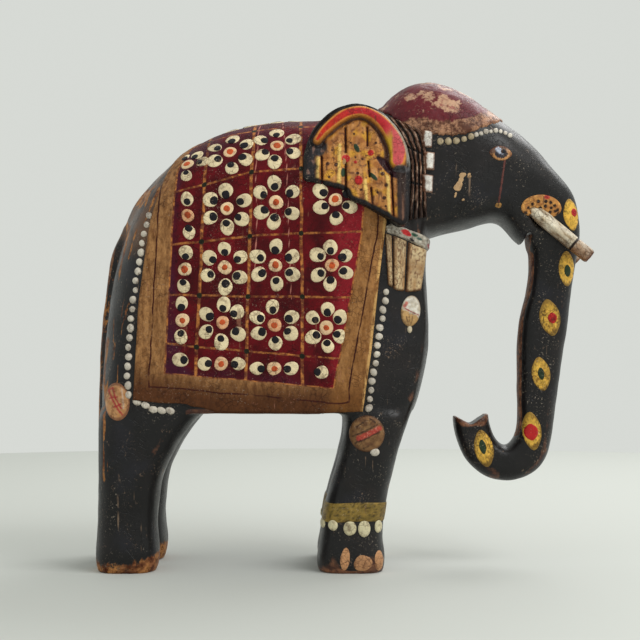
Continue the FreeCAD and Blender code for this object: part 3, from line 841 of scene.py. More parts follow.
def petal(batch, x, girth, side, toward, size=1.0):
    """A cream petal whose dark pupil sits towards the flower's heart."""
    turn = toward + rng.uniform(-0.2, 0.2)
    radius = PETAL_R * size * rng.uniform(0.93, 1.07)
    dab(batch, barrel_place(x, girth, side), blob(radius, 0.06, rng.uniform(1.04, 1.18), turn),
        PETAL_RISE, FIELD_RISE, CREAM)
    step = PUPIL_IN * size * rng.uniform(0.8, 1.15)
    dab(batch, barrel_place(x + step * math.cos(turn), girth + step * math.sin(turn), side),
        blob(PUPIL_R * size * rng.uniform(0.88, 1.08), 0.07), PUPIL_RISE,
        FIELD_RISE + PETAL_RISE * 0.75, PUPIL, count=14)


def heart(batch, x, girth, side, size=1.0):
    share = rng.random()
    ring = tuple(a * (1 - share) + b * share for a, b in zip(HEART_PEACH, HEART_CREAM))
    dab(batch, barrel_place(x, girth, side), blob(HEART_R * size * rng.uniform(0.95, 1.05), 0.06),
        PETAL_RISE, FIELD_RISE, ring)
    dab(batch, barrel_place(x + rng.uniform(-0.3, 0.3), girth + rng.uniform(-0.3, 0.3), side),
        blob(HEART_DOT_R * size * rng.uniform(0.9, 1.15), 0.08), PUPIL_RISE,
        FIELD_RISE + PETAL_RISE * 0.75, ORANGE, count=14)


def flower(batch, x, girth, side, wide=1.0):
    """A heart in a ring of six petals."""
    heart(batch, x, girth, side)
    for i in range(6):
        angle = math.pi / 2 + i * math.pi / 3 + rng.uniform(-0.12, 0.12)
        out = PETAL_OUT * rng.uniform(0.94, 1.05)
        petal(batch, x + out * wide * math.cos(angle), girth + out * math.sin(angle), side,
              angle + math.pi)


def cell_centre(column, row, side):
    """Middle of a cell of the ruled cloth."""
    girth = 0.0
    for _ in range(3):
        x = 0.25 * sum(line_at(COLUMNS[column + i], girth) for i in (0, 1)) * 2
        bounds = [line_at(ROWS[row], x)]
        bounds.append(line_at(ROWS[row + 1], x) if row + 1 < len(ROWS) else half_girth(x, side))
        girth = sum(bounds) / 2
    return x, girth


def flowers(side):
    batch = Batch()
    columns = len(COLUMNS) - 1
    for column in range(columns):
        for row in range(len(ROWS)):
            x, girth = cell_centre(column, row, side)
            ridge_row = row == len(ROWS) - 1
            if ridge_row:
                girth = half_girth(x, side) - 0.5
                if side == LEFT or column == 0:
                    continue
            if row == 0:
                spread = 10.5
                if column == 0:
                    petal(batch, x, girth, side, 0.0)
                elif column == columns - 1:
                    petal(batch, x + 1, girth, side, math.pi)
                else:
                    heart(batch, x, girth, side)
                    for way in (-1, 1):
                        petal(batch, x + way * spread * rng.uniform(0.9, 1.05), girth, side,
                              0.0 if way < 0 else math.pi)
            elif column == 0 and row == len(ROWS) - 2:
                heart(batch, x - 4, girth - 2, side)
                for angle in (1.9, 0.9, 0.0, -1.6):
                    petal(batch, x - 4 + 9.5 * math.cos(angle), girth - 2 + 9.5 * math.sin(angle), side,
                          angle + math.pi, 0.86)
            elif column == 0:
                heart(batch, x, girth, side)
                for way in (-1, 1):
                    petal(batch, x + rng.uniform(-1, 1), girth + way * 10.2, side,
                          -way * math.pi / 2, 0.95)
            else:
                narrow = column == columns - 1
                flower(batch, x + (1.5 if narrow else 0), girth, side, 0.86 if narrow else 1.0)
    batch.build("cloth_flowers_" + SIDE_NAMES[side],
                painted("petal_paint_" + SIDE_NAMES[side], srgb(128, 96, 70), chips=0.55, blotch=0.3,
                        rough=(0.42, 0.65), bump=0.6, grime=0.7), "crimson_gesso")


for side in (RIGHT, LEFT):
    flowers(side)


# ---------------------------------------------------------------- strips of relief on the flanks
def along_line(points, share):
    """The place a share of the way along a line of points."""
    points = np.array(points, float)
    run = np.concatenate([[0], np.cumsum(np.linalg.norm(np.diff(points, axis=0), axis=1))])
    return np.array([np.interp(share * run[-1], run, points[:, i]) for i in range(points.shape[1])])


def relief_strip(batch, low, high, side, across, up, rise, colour, base=0.0, sink=0.8, split=0.0):
    """A closed low relief between two lines (x, z) on a flank. rise and colour take (u, v), both 0-1."""
    front, back, colours = [], [], []
    for j in range(up + 1):
        v = j / up
        for i in range(across + 1):
            u = i / across
            x, z = along_line(low, u) * (1 - v) + along_line(high, u) * v
            point, normal = from_side(x, z, side)
            if split:
                normal = normal * (1 - split) + np.array([0, side, 0]) * split
            front.append(point + normal * (base + rise(u, v)))
            back.append(point - normal * sink)
            colours.append(colour(u, v))
    batch.add(front + back, slab_faces(across + 1, up + 1), colours + colours)


def fade(first, second, share):
    share = float(min(1, max(0, share)))
    return tuple(a * (1 - share) + b * share for a, b in zip(first, second))


def ramp(value, start, end):
    return float(smoothstep(value, start, end))


def round_edge(u, v, side=0.08, ends=0.08):
    """1 over most of a strip, rounding to 0 at its edges."""
    share = min(min(u, 1 - u) / side, min(v, 1 - v) / ends, 1)
    return math.sqrt(max(0, 1 - (1 - share) ** 2))


BEAD_SEGMENTS, BEAD_RINGS = 14, 5


def bead(batch, place, radius, colour, tall=0.85, long=1.0, turn=0.0, base=-0.25):
    """A half-round paste bead standing on the skin."""
    dab(batch, place, blob(radius, 0.05, long, turn), radius * tall, base, colour,
        rings=tuple(math.sin(math.pi / 2 * i / BEAD_RINGS) for i in range(BEAD_RINGS + 1)), tint=0.08,
        count=BEAD_SEGMENTS)


# ---------------------------------------------------------------- pearls round the cloth
REAR_PEARLS = ((-119, 219.5), (-122.6, 202), (-126.2, 180), (-129.2, 156), (-130.8, 136), (-131.7, 118),
               (-131.2, 109.5))
CORNER_PEARLS = ((-125.5, 105.3), (-120.4, 103.4), (-115.6, 100.7), (-110.6, 100.1), (-105.3, 99.9))
FRONT_PEARLS = ((26.8, 172.5), (25.1, 162.5), (23.3, 152), (21.8, 143), (20.2, 131), (18.2, 118.5),
                (15.6, 101.5))
BROW_PEARLS = ((60.3, 266), (76.8, 267.6), (87, 271.2), (94.5, 273), (100, 272.4), (104.5, 270.5))
REAR_COUNT, FRONT_COUNT, SMALL_BROW_COUNT = 20, 14, 8
BIG_BROW = ((60.3, 265.6), (65.2, 265.6), (70.2, 265.9), (75, 267), (79.3, 268.6))


def pearl_rows(side):
    batch = Batch()
    for i in range(REAR_COUNT):
        x, z = along_line(REAR_PEARLS, i / (REAR_COUNT - 1))
        bead(batch, side_place(x + rng.uniform(-0.5, 0.5), z, side), rng.uniform(1.75, 2.25), WHITE,
             long=rng.uniform(1.0, 1.25), turn=1.6)
    for x, z in CORNER_PEARLS:
        bead(batch, side_place(x, z, side), 2.15, WHITE, long=1.4, turn=-0.35, tall=0.7)
    for i in range(FRONT_COUNT):
        x, z = along_line(FRONT_PEARLS, i / (FRONT_COUNT - 1))
        bead(batch, side_place(x + rng.uniform(-0.4, 0.4), z, side), rng.uniform(1.8, 2.3), WHITE,
             long=rng.uniform(1.0, 1.2), turn=rng.uniform(0, 3))
    return batch


pearl_material = painted("pearl_paste", srgb(120, 96, 78), chips=0.8, blotch=0.6, rough=(0.3, 0.5), bump=0.5)
both_rows = Batch()
for side in (RIGHT, LEFT):
    rows = pearl_rows(side)
    both_rows.add(rows.points, rows.faces, rows.colours)
both_rows.build("cloth_bead_rows", pearl_material, "pearl_paste", "cloth_pearls")

brow_rows = Batch()
for side in (RIGHT, LEFT):
    for x, z in BIG_BROW:
        bead(brow_rows, side_place(x, z, side), rng.uniform(1.7, 2.3), srgb(180, 164, 134),
             long=rng.uniform(1.0, 1.2), turn=1.5)
    for i in range(SMALL_BROW_COUNT):               # over the front half of the brow line
        x, z = along_line(BROW_PEARLS, 0.50 + 0.50 * i / (SMALL_BROW_COUNT - 1))
        bead(brow_rows, side_place(x, z + rng.uniform(-0.3, 0.3), side), rng.uniform(1.25, 1.75), WHITE)
brow_rows.build("brow_bead_rows", pearl_material, "pearl_paste", "brow_pearls")


# ---------------------------------------------------------------- the ears
EAR_LEAN, EAR_FOOT_OUT, EAR_FOOT_Z = math.radians(7), 58.0, 213.0
EAR_DEEP = 12.0                                     # how far the ear board reaches in
EAR_EDGE = ((-23.7, 241.3), (-24.4, 250), (-23.2, 259.5), (-17.5, 273.2), (-6, 284.2), (7.2, 288.6),
            (19.4, 286), (28.7, 279.4), (35.2, 271), (39.6, 261.1), (41.2, 250), (40.8, 236),
            (40, 217.5), (35, 213.5), (27.3, 218.1), (14.2, 225), (4.8, 229.2), (1.6, 234.2),
            (-4.5, 236.4), (-16, 239.2))
EAR_MIDDLE = (9.0, 251.0)
EAR_BAND = ((-15.6, 265.2), (-10, 272.2), (0.4, 280.4), (10.5, 283.0), (18.6, 280.4), (25.8, 274.2),
            (31.6, 265.4), (33.8, 258.5), (33.4, 252.6))
EAR_BAND_HALF = (2.2, 2.9, 3.4, 3.2, 3.4, 4.0, 4.9, 5.3, 4.6)
EAR_GROOVES = (((-12.6, 238), (-12.9, 255)), ((1.9, 231), (1.7, 251)), ((1.9, 258), (1.6, 273)),
               ((15.0, 273), (15.0, 262)), ((15.6, 252), (16.4, 243)), ((17.2, 236), (18.4, 223)),
               ((29.6, 245), (30.8, 219)))
EAR_RIDGES = (((-15.4, 242), (-15.2, 254)), ((-2.3, 237), (-2.0, 262)), ((13.4, 240), (14.6, 226)),
              ((27.2, 243), (28.4, 218)))
EAR_SWIRL = ((21.5, 254.4), (24.6, 251.6), (28.4, 248.6), (33.4, 246.0))
EAR_DOTS = ((8.4, 260.3, 1.5, 2.9, 0.45, GREEN), (0.2, 245.3, 1.4, 2.9, -0.1, GREEN),
            (18.6, 242.8, 1.3, 3.4, 0.75, GREEN), (1.9, 253.9, 2.6, 2.4, 0.0, RED),
            (17.0, 257.4, 1.9, 1.9, 0.0, RED), (7.8, 251.6, 1.1, 1.0, 0.0, RED),
            (9.6, 240.4, 2.5, 2.9, 0.1, RED))
EAR_SPECKS = ((7, 269, 0.8), (-9.3, 250.6, 1.2), (-4.1, 250, 1.3), (-6.5, 259, 0.7), (11.8, 253.5, 0.8),
              (7.7, 254.6, 0.7), (9, 244.8, 1.0), (20.3, 263.5, 0.9), (24, 244.4, 1.4), (26.4, 237.3, 1.3),
              (11.2, 234.6, 0.9), (25.2, 229.6, 1.2), (-8.4, 242.5, 0.9), (26, 224.5, 0.8),
              (5.0, 263.5, 0.7), (21, 233, 0.8))
EAR_FLUTES = (-26, -12.7, 1.8, 16.0, 30.2, 44)      # x of the valleys between the fluted strips
EAR_AROUND, EAR_RINGS = 300, 84


def between(a, b, c, d, t):
    """The place a share t of the way from b to c on a Catmull-Rom curve."""
    return 0.5 * (2 * b + (c - a) * t + (2 * a - 5 * b + 4 * c - d) * t ** 2
                  + (3 * b - a - 3 * c + d) * t ** 3)


def smooth_line(points, count):
    """A smooth open curve through points."""
    points = np.array(points, float)
    padded = np.concatenate([[2 * points[0] - points[1]], points, [2 * points[-1] - points[-2]]])
    curve = []
    for step in range(count + 1):
        at = min(step / count * (len(points) - 1), len(points) - 1 - 1e-9)
        curve.append(between(*padded[int(at):int(at) + 4], at - int(at)))
    return np.array(curve)


def distance_to_line(x, z, points):
    """Distance of many places from a line of points, and the share along it."""
    best = np.full(x.shape, 1e9)
    share = np.zeros(x.shape)
    points = np.array(points, float)
    for i, (a, b) in enumerate(zip(points, points[1:])):
        step = b - a
        t = np.clip(((x - a[0]) * step[0] + (z - a[1]) * step[1]) / (step @ step), 0, 1)
        away = np.hypot(x - a[0] - t * step[0], z - a[1] - t * step[1])
        nearer = away < best
        best = np.where(nearer, away, best)
        share = np.where(nearer, (i + t) / (len(points) - 1), share)
    return best, share


def smooth_loop(points, count):
    """A smooth closed curve through points."""
    points = np.array(points, float)
    curve = []
    for step in range(count):
        at = step / count * len(points)
        near = (points[(int(at) + k) % len(points)] for k in (-1, 0, 1, 2))
        curve.append(between(*near, at - int(at)))
    return np.array(curve)


def blend(colours, other, share):
    """Paint another colour over, where share is near 1."""
    return colours * (1 - share[:, None]) + np.array(other) * share[:, None]


def ear_face(x, z, edge):
    """Height and colour of the carved face of an ear; edge is the distance from its outline."""
    wob = 0.45 * noise_at(np.stack([x, z, 0 * x], 1), 4, 9)
    grain = noise_at(np.stack([x * 3, z * 0.5, 0 * x], 1), 5, 3)
    band, band_at = distance_to_line(x, z, smooth_line(EAR_BAND, 64))
    half = np.interp(band_at, np.linspace(0, 1, len(EAR_BAND_HALF)), EAR_BAND_HALF)
    groove, _ = zip(*[distance_to_line(x, z, line) for line in EAR_GROOVES])
    groove = np.minimum.reduce(groove)
    ridge, _ = zip(*[distance_to_line(x, z, line) for line in EAR_RIDGES])
    ridge = np.minimum.reduce(ridge)
    swirl, swirl_at = distance_to_line(x, z, smooth_line(EAR_SWIRL, 24))
    flute = np.abs(np.sin(np.pi * np.interp(x, EAR_FLUTES, range(len(EAR_FLUTES)))))
    height = 0.25 * grain + 0.2 * wob + 1.1 * np.sqrt(flute) - 0.6
    height += 0.85 * smoothstep(ridge, 2.8, 0.3)
    height -= 1.7 * smoothstep(groove + wob * 0.4, 1.1, 0.15)
    rolled = smoothstep(band, half + 0.9, half - 0.7)
    dome = np.sqrt(np.clip(1 - (band / (half + 0.4)) ** 2, 0, 1))
    trough = smoothstep(band, half + 3.4, half + 1.3) * (1 - rolled)
    height = height * (1 - rolled) + (1.0 + 2.1 * dome) * rolled - 1.6 * trough
    swirl_half = 1.2 + 3.2 * swirl_at
    dark_swirl = smoothstep(swirl + wob * 0.5, swirl_half + 0.5, swirl_half - 0.4) * (1 - rolled)
    height -= 1.2 * dark_swirl
    rim = smoothstep(edge + wob, 3.4, 2.0) * (1 - rolled)
    height -= 0.5 * rim
    height -= 2.0 * (1 - np.sqrt(np.clip(1 - (1 - np.clip(edge / 2.2, 0, 1)) ** 2, 0, 1)))

    flat = np.stack([x, z, 0 * x], 1)
    colour = np.tile(np.array(srgb(188, 126, 64)), (len(x), 1))
    colour = blend(colour, srgb(208, 150, 92), smoothstep(grain, -0.1, 0.4) * 0.8)
    colour = blend(colour, srgb(140, 78, 36), smoothstep(noise_at(flat, 5, 5), 0, 0.4) * 0.6)
    colour = blend(colour, srgb(216, 158, 46), smoothstep(noise_at(flat, 6, 21), 0.05, 0.4) * 0.75)
    colour = blend(colour, srgb(92, 50, 34), smoothstep(noise_at(flat, 2.2, 33), 0.25, 0.5) * 0.7)
    sheen_and_smear_noise = noise_at(np.stack([x * 2, z * 0.6, 0 * x], 1), 3, 12)
    # painted highlight: pale yellow along the crests of the carved ridges, where they catch the light
    colour = blend(colour, srgb(234, 196, 108), smoothstep(ridge + sheen_and_smear_noise * 0.7, 1.5, 0.5) * 0.9)
    colour = blend(colour, srgb(62, 18, 16), smoothstep(groove + wob * 0.5, 0.9, 0.35))
    for spot_x, spot_z, half_w, half_h, turn, paint in EAR_DOTS:
        aside = (x - spot_x) * math.cos(turn) + (z - spot_z) * math.sin(turn)
        along = (z - spot_z) * math.cos(turn) - (x - spot_x) * math.sin(turn)
        away = np.hypot((aside + wob * 0.3) / half_w, along / half_h)
        colour = blend(colour, paint, smoothstep(away, 1.08, 0.9))
        height += 0.35 * smoothstep(away, 1.1, 0.7)
    for spot_x, spot_z, radius in EAR_SPECKS:
        away = np.hypot(x - spot_x + wob * 0.8, z - spot_z) / radius
        colour = blend(colour, srgb(52, 20, 18), smoothstep(away, 1.15, 0.8) * 0.95)
    # painted shade: a dark purple-brown arch just inside the rolled band, standing for the shade under the
    # roll
    arch_wide = 2.6 + 1.6 * smoothstep(band_at, 0.45, 0.7)
    arch = smoothstep(band + wob * 1.2, half + arch_wide, half + arch_wide - 1.3) * (edge > half * 0.6)
    inside = smoothstep(np.hypot(x - 8, (z - 240) * 0.95), 44, 40)
    colour = blend(colour, srgb(60, 36, 40), arch * inside * 0.9)
    # painted shade: the carved curl below the band's right end is painted dark, standing for the shade in
    # that fold
    colour = blend(colour, srgb(50, 20, 28), dark_swirl)
    left_dark = smoothstep(x + wob * 2.5, -14.0, -17.5) * smoothstep(z, 272, 262)
    left_dark = np.maximum(left_dark, smoothstep(np.hypot(x + 16, (z - 261) * 1.2) + wob * 2, 8, 5.5))
    colour = blend(colour, srgb(38, 34, 38), left_dark * (1 - rolled))
    smear = smoothstep(noise_at(flat, 3.2, 41) + 0.4 * sheen_and_smear_noise, 0.18, 0.5)
    colour = blend(colour, srgb(140, 104, 92), smear * left_dark * (1 - rolled) * 0.7)
    low_right = smoothstep(x + wob, 32.0, 33.6) * smoothstep(z, 250, 246)
    colour = blend(colour, srgb(58, 42, 38), low_right)
    colour = blend(colour, srgb(120, 86, 70), smoothstep(np.abs(x - 36.5 + wob), 1.0, 0.4)
                   * smoothstep(z, 236, 226))
    colour = blend(colour, srgb(27, 23, 25), rim)
    core = smoothstep(band + wob * 0.4, half - 1.0, half - 1.7)
    red = np.array(srgb(196, 44, 22)) * (1 - smoothstep(band_at, 0.1, 0.4))[:, None]
    red = red + np.array(srgb(192, 36, 44)) * smoothstep(band_at, 0.1, 0.4)[:, None]
    pink = smoothstep(band_at + wob * 0.03, 0.62, 0.74)
    red = red * (1 - pink)[:, None] + np.array(srgb(214, 88, 92)) * pink[:, None]
    band_edge = np.array(srgb(216, 140, 56))
    band_colour = band_edge * (1 - core)[:, None] + red * core[:, None]
    yellow_end = smoothstep(x + wob, 31.2, 29.2) * smoothstep(band_at, 0.66, 0.74)
    band_colour = blend(band_colour, srgb(206, 164, 44), yellow_end)
    colour = colour * (1 - rolled)[:, None] + band_colour * rolled[:, None]
    # painted highlight: pale grey along the upper right rim, where the ear's edge catches the light
    lit = smoothstep(edge + wob * 0.5, 2.7, 1.5) * smoothstep(x, 20, 29) * smoothstep(z, 246, 256)
    colour = blend(colour, srgb(176, 172, 160), lit * (1 - core) * 0.85)
    under = smoothstep(np.hypot((x - 36) / 5.5, (z - 247.5) / 2.2) + wob * 0.2, 1.1, 0.8)
    colour = blend(colour, srgb(84, 82, 84), under)
    return height, colour


def ear(side):
    loop = smooth_loop(EAR_EDGE, EAR_AROUND)
    middle = np.array(EAR_MIDDLE)
    shares = (np.arange(1, EAR_RINGS + 1) / EAR_RINGS) ** 0.8
    flat = np.concatenate([[middle]] + [middle + (loop - middle) * share for share in shares])
    x, z = flat.T
    edge, _ = distance_to_line(x, z, np.concatenate([loop, loop[:1]]))
    height, colour = ear_face(x, z, edge)

    def lean(xs, out, zs):
        """Stand places on the leaning board: out is measured off its face."""
        rise = zs - EAR_FOOT_Z
        y = EAR_FOOT_OUT - math.sin(EAR_LEAN) * rise + math.cos(EAR_LEAN) * out
        return np.stack([xs, side * y, EAR_FOOT_Z + math.cos(EAR_LEAN) * rise + math.sin(EAR_LEAN) * out], 1)

    stretch = EAR_FOOT_Z + (z - EAR_FOOT_Z) / math.cos(EAR_LEAN)
    front = lean(x, height - 1.6, stretch)
    ring = np.arange(EAR_AROUND)
    faces = [(0, 1 + i, 1 + (i + 1) % EAR_AROUND) for i in ring]
    for r in range(EAR_RINGS - 1):
        start = 1 + r * EAR_AROUND
        faces += [(start + i, start + EAR_AROUND + i, start + EAR_AROUND + (i + 1) % EAR_AROUND,
                   start + (i + 1) % EAR_AROUND) for i in ring]
    points, colours = [front], [colour]
    dark = np.array(srgb(30, 27, 27))
    last = len(front) - EAR_AROUND
    rim_stretch = EAR_FOOT_Z + (loop[:, 1] - EAR_FOOT_Z) / math.cos(EAR_LEAN)
    for depth, inset in ((-4.6, -0.35), (-7.6, -0.2), (-EAR_DEEP + 1.2, 0.0), (-EAR_DEEP, 0.03)):
        spread = loop + (middle - loop) * max(inset, 0)
        points.append(lean(spread[:, 0], np.full(EAR_AROUND, depth), rim_stretch))
        colours.append(np.tile(dark, (EAR_AROUND, 1)))
        start = last + EAR_AROUND if depth > -5 else start + EAR_AROUND
        before = last if depth > -5 else start - EAR_AROUND
        faces += [(before + i, start + i, start + (i + 1) % EAR_AROUND, before + (i + 1) % EAR_AROUND)
                  for i in ring]
    points.append(lean(middle[:1], np.array([-EAR_DEEP]), middle[1:]))
    colours.append(dark[None, :])
    hub = sum(len(p) for p in points) - 1
    faces += [(start + i, hub, start + (i + 1) % EAR_AROUND) for i in ring]
    if side == LEFT:
        faces = [tuple(reversed(face)) for face in faces]
    board = new_object("ear_board_" + SIDE_NAMES[side], np.concatenate(points) * MM, faces, ear_material)
    set_paint(board, np.concatenate(colours))
    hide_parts("ear_" + SIDE_NAMES[side])


ear_material = painted("ear_paint", srgb(84, 52, 36), chips=0.7, blotch=0.4, rough=(0.36, 0.58),
                       bump=0.7, grime=0.6)
for side in (RIGHT, LEFT):
    ear(side)


# ---------------------------------------------------------------- head cap
CAP_RIM = ((19.5, 292), (25.5, 286), (30.4, 282), (36.8, 276.4), (44.1, 271.6), (57, 269.6), (68, 269.2),
           (77, 270.3), (87, 274.5), (95, 278), (103, 281))
CAP_ACROSS, CAP_UP = 100, 90
CAP_HIGH = 1.0
CAP_RUBS = ((41, 293, 4, 1.0), (53, 293.5, 4.5, 1.1), (62, 290, 5, 1.25),
            (69, 287, 4.5, 1.1))                    # x, z, size and depth of rubbed places


def head_cap():
    """A thin gesso cap over the crown, laid from rim to rim."""
    points, outward, rims = [], [], []
    for j in range(CAP_UP + 1):
        turn = math.pi * j / CAP_UP
        for i in range(CAP_ACROSS + 1):
            x, rim_z = along_line(CAP_RIM, i / CAP_ACROSS)
            rim_z += 0.35 * math.sin(x * 0.9) + 0.3 * math.sin(x * 2.3)
            low, _ = from_side(x, rim_z, RIGHT)
            half = abs(low[1])
            direction = Vector((0, -math.cos(turn), 1.15 * math.sin(turn) + 1e-6)).normalized()
            origin = Vector((x, 0, rim_z))
            start = origin + direction * RAY_START
            hit, _, face, _ = skin_tree.ray_cast(start, -direction)
            if hit is None or j in (0, CAP_UP):
                hit, normal = on_skin((x, -half * math.cos(turn), rim_z))
            else:
                hit, normal = np.array(hit), face_normal(face)
            points.append(hit)
            outward.append(normal)
            rims.append(hit[2] - rim_z)
    points, outward, rims = np.array(points), np.array(outward), np.array(rims)
    station = np.arange(len(points)) % (CAP_ACROSS + 1)
    rim = np.minimum(rims, np.minimum(station, CAP_ACROSS - station) * 1.1)
    roll = np.sqrt(np.clip(1 - (1 - np.clip(rim / 1.2, 0, 1)) ** 2, 0, 1))
    rise = 0.25 + CAP_HIGH * roll + 0.14 * noise_at(points, 7, 4)
    rise += 0.28 * smoothstep(np.abs(noise_at(points, 9, 15)), 0.02, 0.2) - 0.25
    front = points + outward * np.maximum(rise, 0.05)[:, None]
    back = points - outward * CLOTH_SINK
    cap = new_object("crown_cap", [Vector(p) * MM for p in (*front, *back)],
                     slab_faces(CAP_ACROSS + 1, CAP_UP + 1), cap_paint())
    tan_rim = rims + 14 * smoothstep(points[:, 0], 46, 30)
    set_values(cap, "rim", np.concatenate([tan_rim, tan_rim]))
    crest = smoothstep(points[:, 0], 40, 56) * smoothstep(np.abs(points[:, 1]), 26, 8)
    for x, z, size, weight in CAP_RUBS:
        crest += weight * np.exp(-((points[:, 0] - x) ** 2 + (points[:, 2] - z) ** 2) / size ** 2)
    set_values(cap, "crest", np.concatenate([crest, crest]))
    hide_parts("head_cap")


head_cap()


# ---------------------------------------------------------------- frill, temple beads, collar and bib
FRILL_REAR = ((37.5, 216), (39.5, 236), (39.5, 252), (37, 262), (31, 273), (23.5, 284.5))
FRILL_FRONT = ((52.5, 219), (52, 236), (52, 250), (52, 260), (50.5, 269), (46.5, 273.5))
FRILL_BARS = 5
FRILL_GAPS = (0.34, 0.66)                           # cuts across the bars, up the frill


def frill(side):
    """Upright carved bars behind the ear, cut across in two places."""
    batch = Batch()
    light, dark = srgb(134, 92, 70), srgb(38, 24, 20)
    for bar in range(FRILL_BARS):
        start, end = bar / FRILL_BARS + 0.015, (bar + 1) / FRILL_BARS - 0.025
        low, high = ([tuple(np.array(a) * (1 - share) + np.array(b) * share)
                      for a, b in zip(FRILL_REAR, FRILL_FRONT)] for share in (start, end))

        def cut(u):
            return max(ramp(abs(u - gap), 0.016, 0.006) for gap in FRILL_GAPS)

        def rise(u, v):
            dome = math.sqrt(max(0, 1 - (2 * v - 1) ** 2)) * round_edge(u, 0.5, 0.03)
            return 0.3 + 2.0 * dome - 1.2 * cut(u)

        def colour(u, v):
            speck = noise.noise(Vector((u * 11, v * 3 + bar * 3, 2)))
            fine = noise.noise(Vector((u * 34, v * 5 + bar * 3, 6)))
            # painted light and shade: each rounded bar is lighter along its middle and darker at its sides,
            # and dark in the cuts as painted shade; it also darkens towards its lower end
            tint = fade(dark, light, math.sin(math.pi * v) * 0.75 + speck * 0.8 - 0.12)
            tint = fade(tint, srgb(196, 168, 146), ramp(fine + speck, 0.22, 0.5) * 0.7)
            return fade(tint, dark, cut(u) + ramp(u + speck * 0.1, 0.26, 0.08) * 0.85)

        relief_strip(batch, low, high, side, 90, 8, rise, colour)
    name = SIDE_NAMES[side]
    batch.build("frill_bars_" + name, trim_material, "ochre_gesso", "neck_frill_" + name)


def temple_bead_strips(batch, side):
    """Three long flat beads one over another, brown behind and white in front; the white is partly the
    paste's own colour and partly a painted highlight.
    """
    for low_z, high_z, x in ((261.2, 272.8, 52.6), (247.2, 259.6, 54.0), (233.4, 245.6, 53.0)):
        low = ((x - 4.0, low_z + 0.9), (x + 2.5, low_z + 0.4))
        high = ((x - 4.4, high_z), (x + 3.0, high_z - 1.0))

        def rise(u, v):
            return 3.3 * math.sqrt(max(0, 1 - (2 * u - 1) ** 2 * 0.92)) * round_edge(u, v, 0.06, 0.10)

        def colour(u, v):
            speck = noise.noise(Vector((u * 5, v * 7 + low_z, 2)))
            brown = fade(srgb(120, 78, 58), srgb(176, 142, 122), ramp(u, 0.15, 0.4) + speck)
            ends = ramp(min(v, 1 - v) + speck * 0.05, 0.04, 0.14)
            # the white is partly the beads' white paste and partly a painted highlight on their forward faces
            tint = fade(brown, srgb(238, 234, 226), ramp(u + speck * 0.16, 0.24, 0.38) * ends)
            return fade(tint, srgb(132, 94, 80), ramp(u + speck * 0.1, 0.84, 0.96) * 0.85)

        relief_strip(batch, low, high, side, 16, 18, rise, colour, split=0.3)


COLLAR_HIGH = ((26, 212.6), (30, 214.8), (36, 213), (44.5, 209.8), (52, 207.2), (56.5, 206))
COLLAR_LOW = ((27, 209), (31, 207.8), (38.4, 205), (44.7, 202), (50, 199.8), (54.8, 198.6))
COLLAR_SPOTS = ((0.42, 0.55, 0.12, 0.30, RED), (0.92, 0.32, 0.07, 0.22, srgb(150, 60, 60)),
                (0.60, 0.70, 0.07, 0.16, srgb(60, 110, 88)), (0.55, 0.2, 0.07, 0.14, srgb(50, 40, 44)),
                (0.70, 0.52, 0.05, 0.12, srgb(70, 90, 84)))


def collar(side):
    batch = Batch()

    def rise(u, v):
        return 1.7 * round_edge(u, v, 0.04, 0.25) + 0.25 * noise.noise(Vector((u * 12, v * 4, 3)))

    def colour(u, v):
        speck = noise.noise(Vector((u * 16, v * 6, 8)))
        tint = fade(srgb(198, 192, 178), srgb(140, 130, 116), 0.5 + speck)
        for spot_u, spot_v, wide, tall, paint in COLLAR_SPOTS:
            away = math.hypot((u - spot_u) / wide, (v - spot_v) / tall) + speck * 0.25
            tint = fade(tint, paint, ramp(away, 1.0, 0.75))
        return tint

    relief_strip(batch, COLLAR_LOW, COLLAR_HIGH, side, 70, 20, rise, colour)
    name = SIDE_NAMES[side]
    batch.build("collar_band_" + name, trim_material, "pearl_paste", "collar_" + name)


BIB_TOP = ((25.5, 208.6), (31, 207.2), (38.4, 204.4), (44.7, 201.4), (52.6, 198.6))
BIB_FOOT = ((27.5, 177), (33, 173.4), (41, 172.4), (48.6, 173.4))
BIB_SPLITS = (0.0, 0.17, 0.53, 1.0)


def bib(side):
    batch = Batch()
    for number, (start, end) in enumerate(zip(BIB_SPLITS, BIB_SPLITS[1:])):
        share = np.linspace(start + 0.012, end - 0.02, 8)
        low = [tuple(along_line(BIB_FOOT, s)) for s in share]
        high = [tuple(along_line(BIB_TOP, s)) for s in share]

        def rise(u, v):
            return (1.5 + 0.5 * math.sin(math.pi * u)) * round_edge(u, v, 0.14, 0.05)

        def colour(u, v):
            speck = noise.noise(Vector((u * 4 + number * 9, v * 3, 6)))
            fine = noise.noise(Vector((u * 9 + number * 9, v * 14, 1)))
            tint = fade(srgb(164, 126, 84), srgb(202, 180, 140), 0.5 + speck)
            tint = fade(tint, srgb(112, 70, 44), ramp(fine + speck * 0.5, 0.16, 0.40) * 0.8)
            return fade(tint, srgb(92, 60, 40), ramp(min(u, 1 - u), 0.14, 0.02) + ramp(v, 0.05, 0.0))

        relief_strip(batch, low, high, side, 18, 44, rise, colour)
    name = SIDE_NAMES[side]
    batch.build("bib_panels_" + name, trim_material, "trim_gesso", "chest_bib_" + name)


trim_material = painted("trim_paint", srgb(96, 64, 46), chips=0.8, blotch=0.4, rough=(0.36, 0.6), bump=0.6,
                        grime=0.65)
temple_strips = Batch()
for side in (RIGHT, LEFT):
    frill(side)
    collar(side)
    bib(side)
    temple_bead_strips(temple_strips, side)
temple_strips.build("temple_bead_strips", pearl_material, "pearl_paste", "temple_beads")


# ---------------------------------------------------------------- round tassels and the eye
MEDALLION_SINK = 0.6                                # how far below the skin a disc is closed


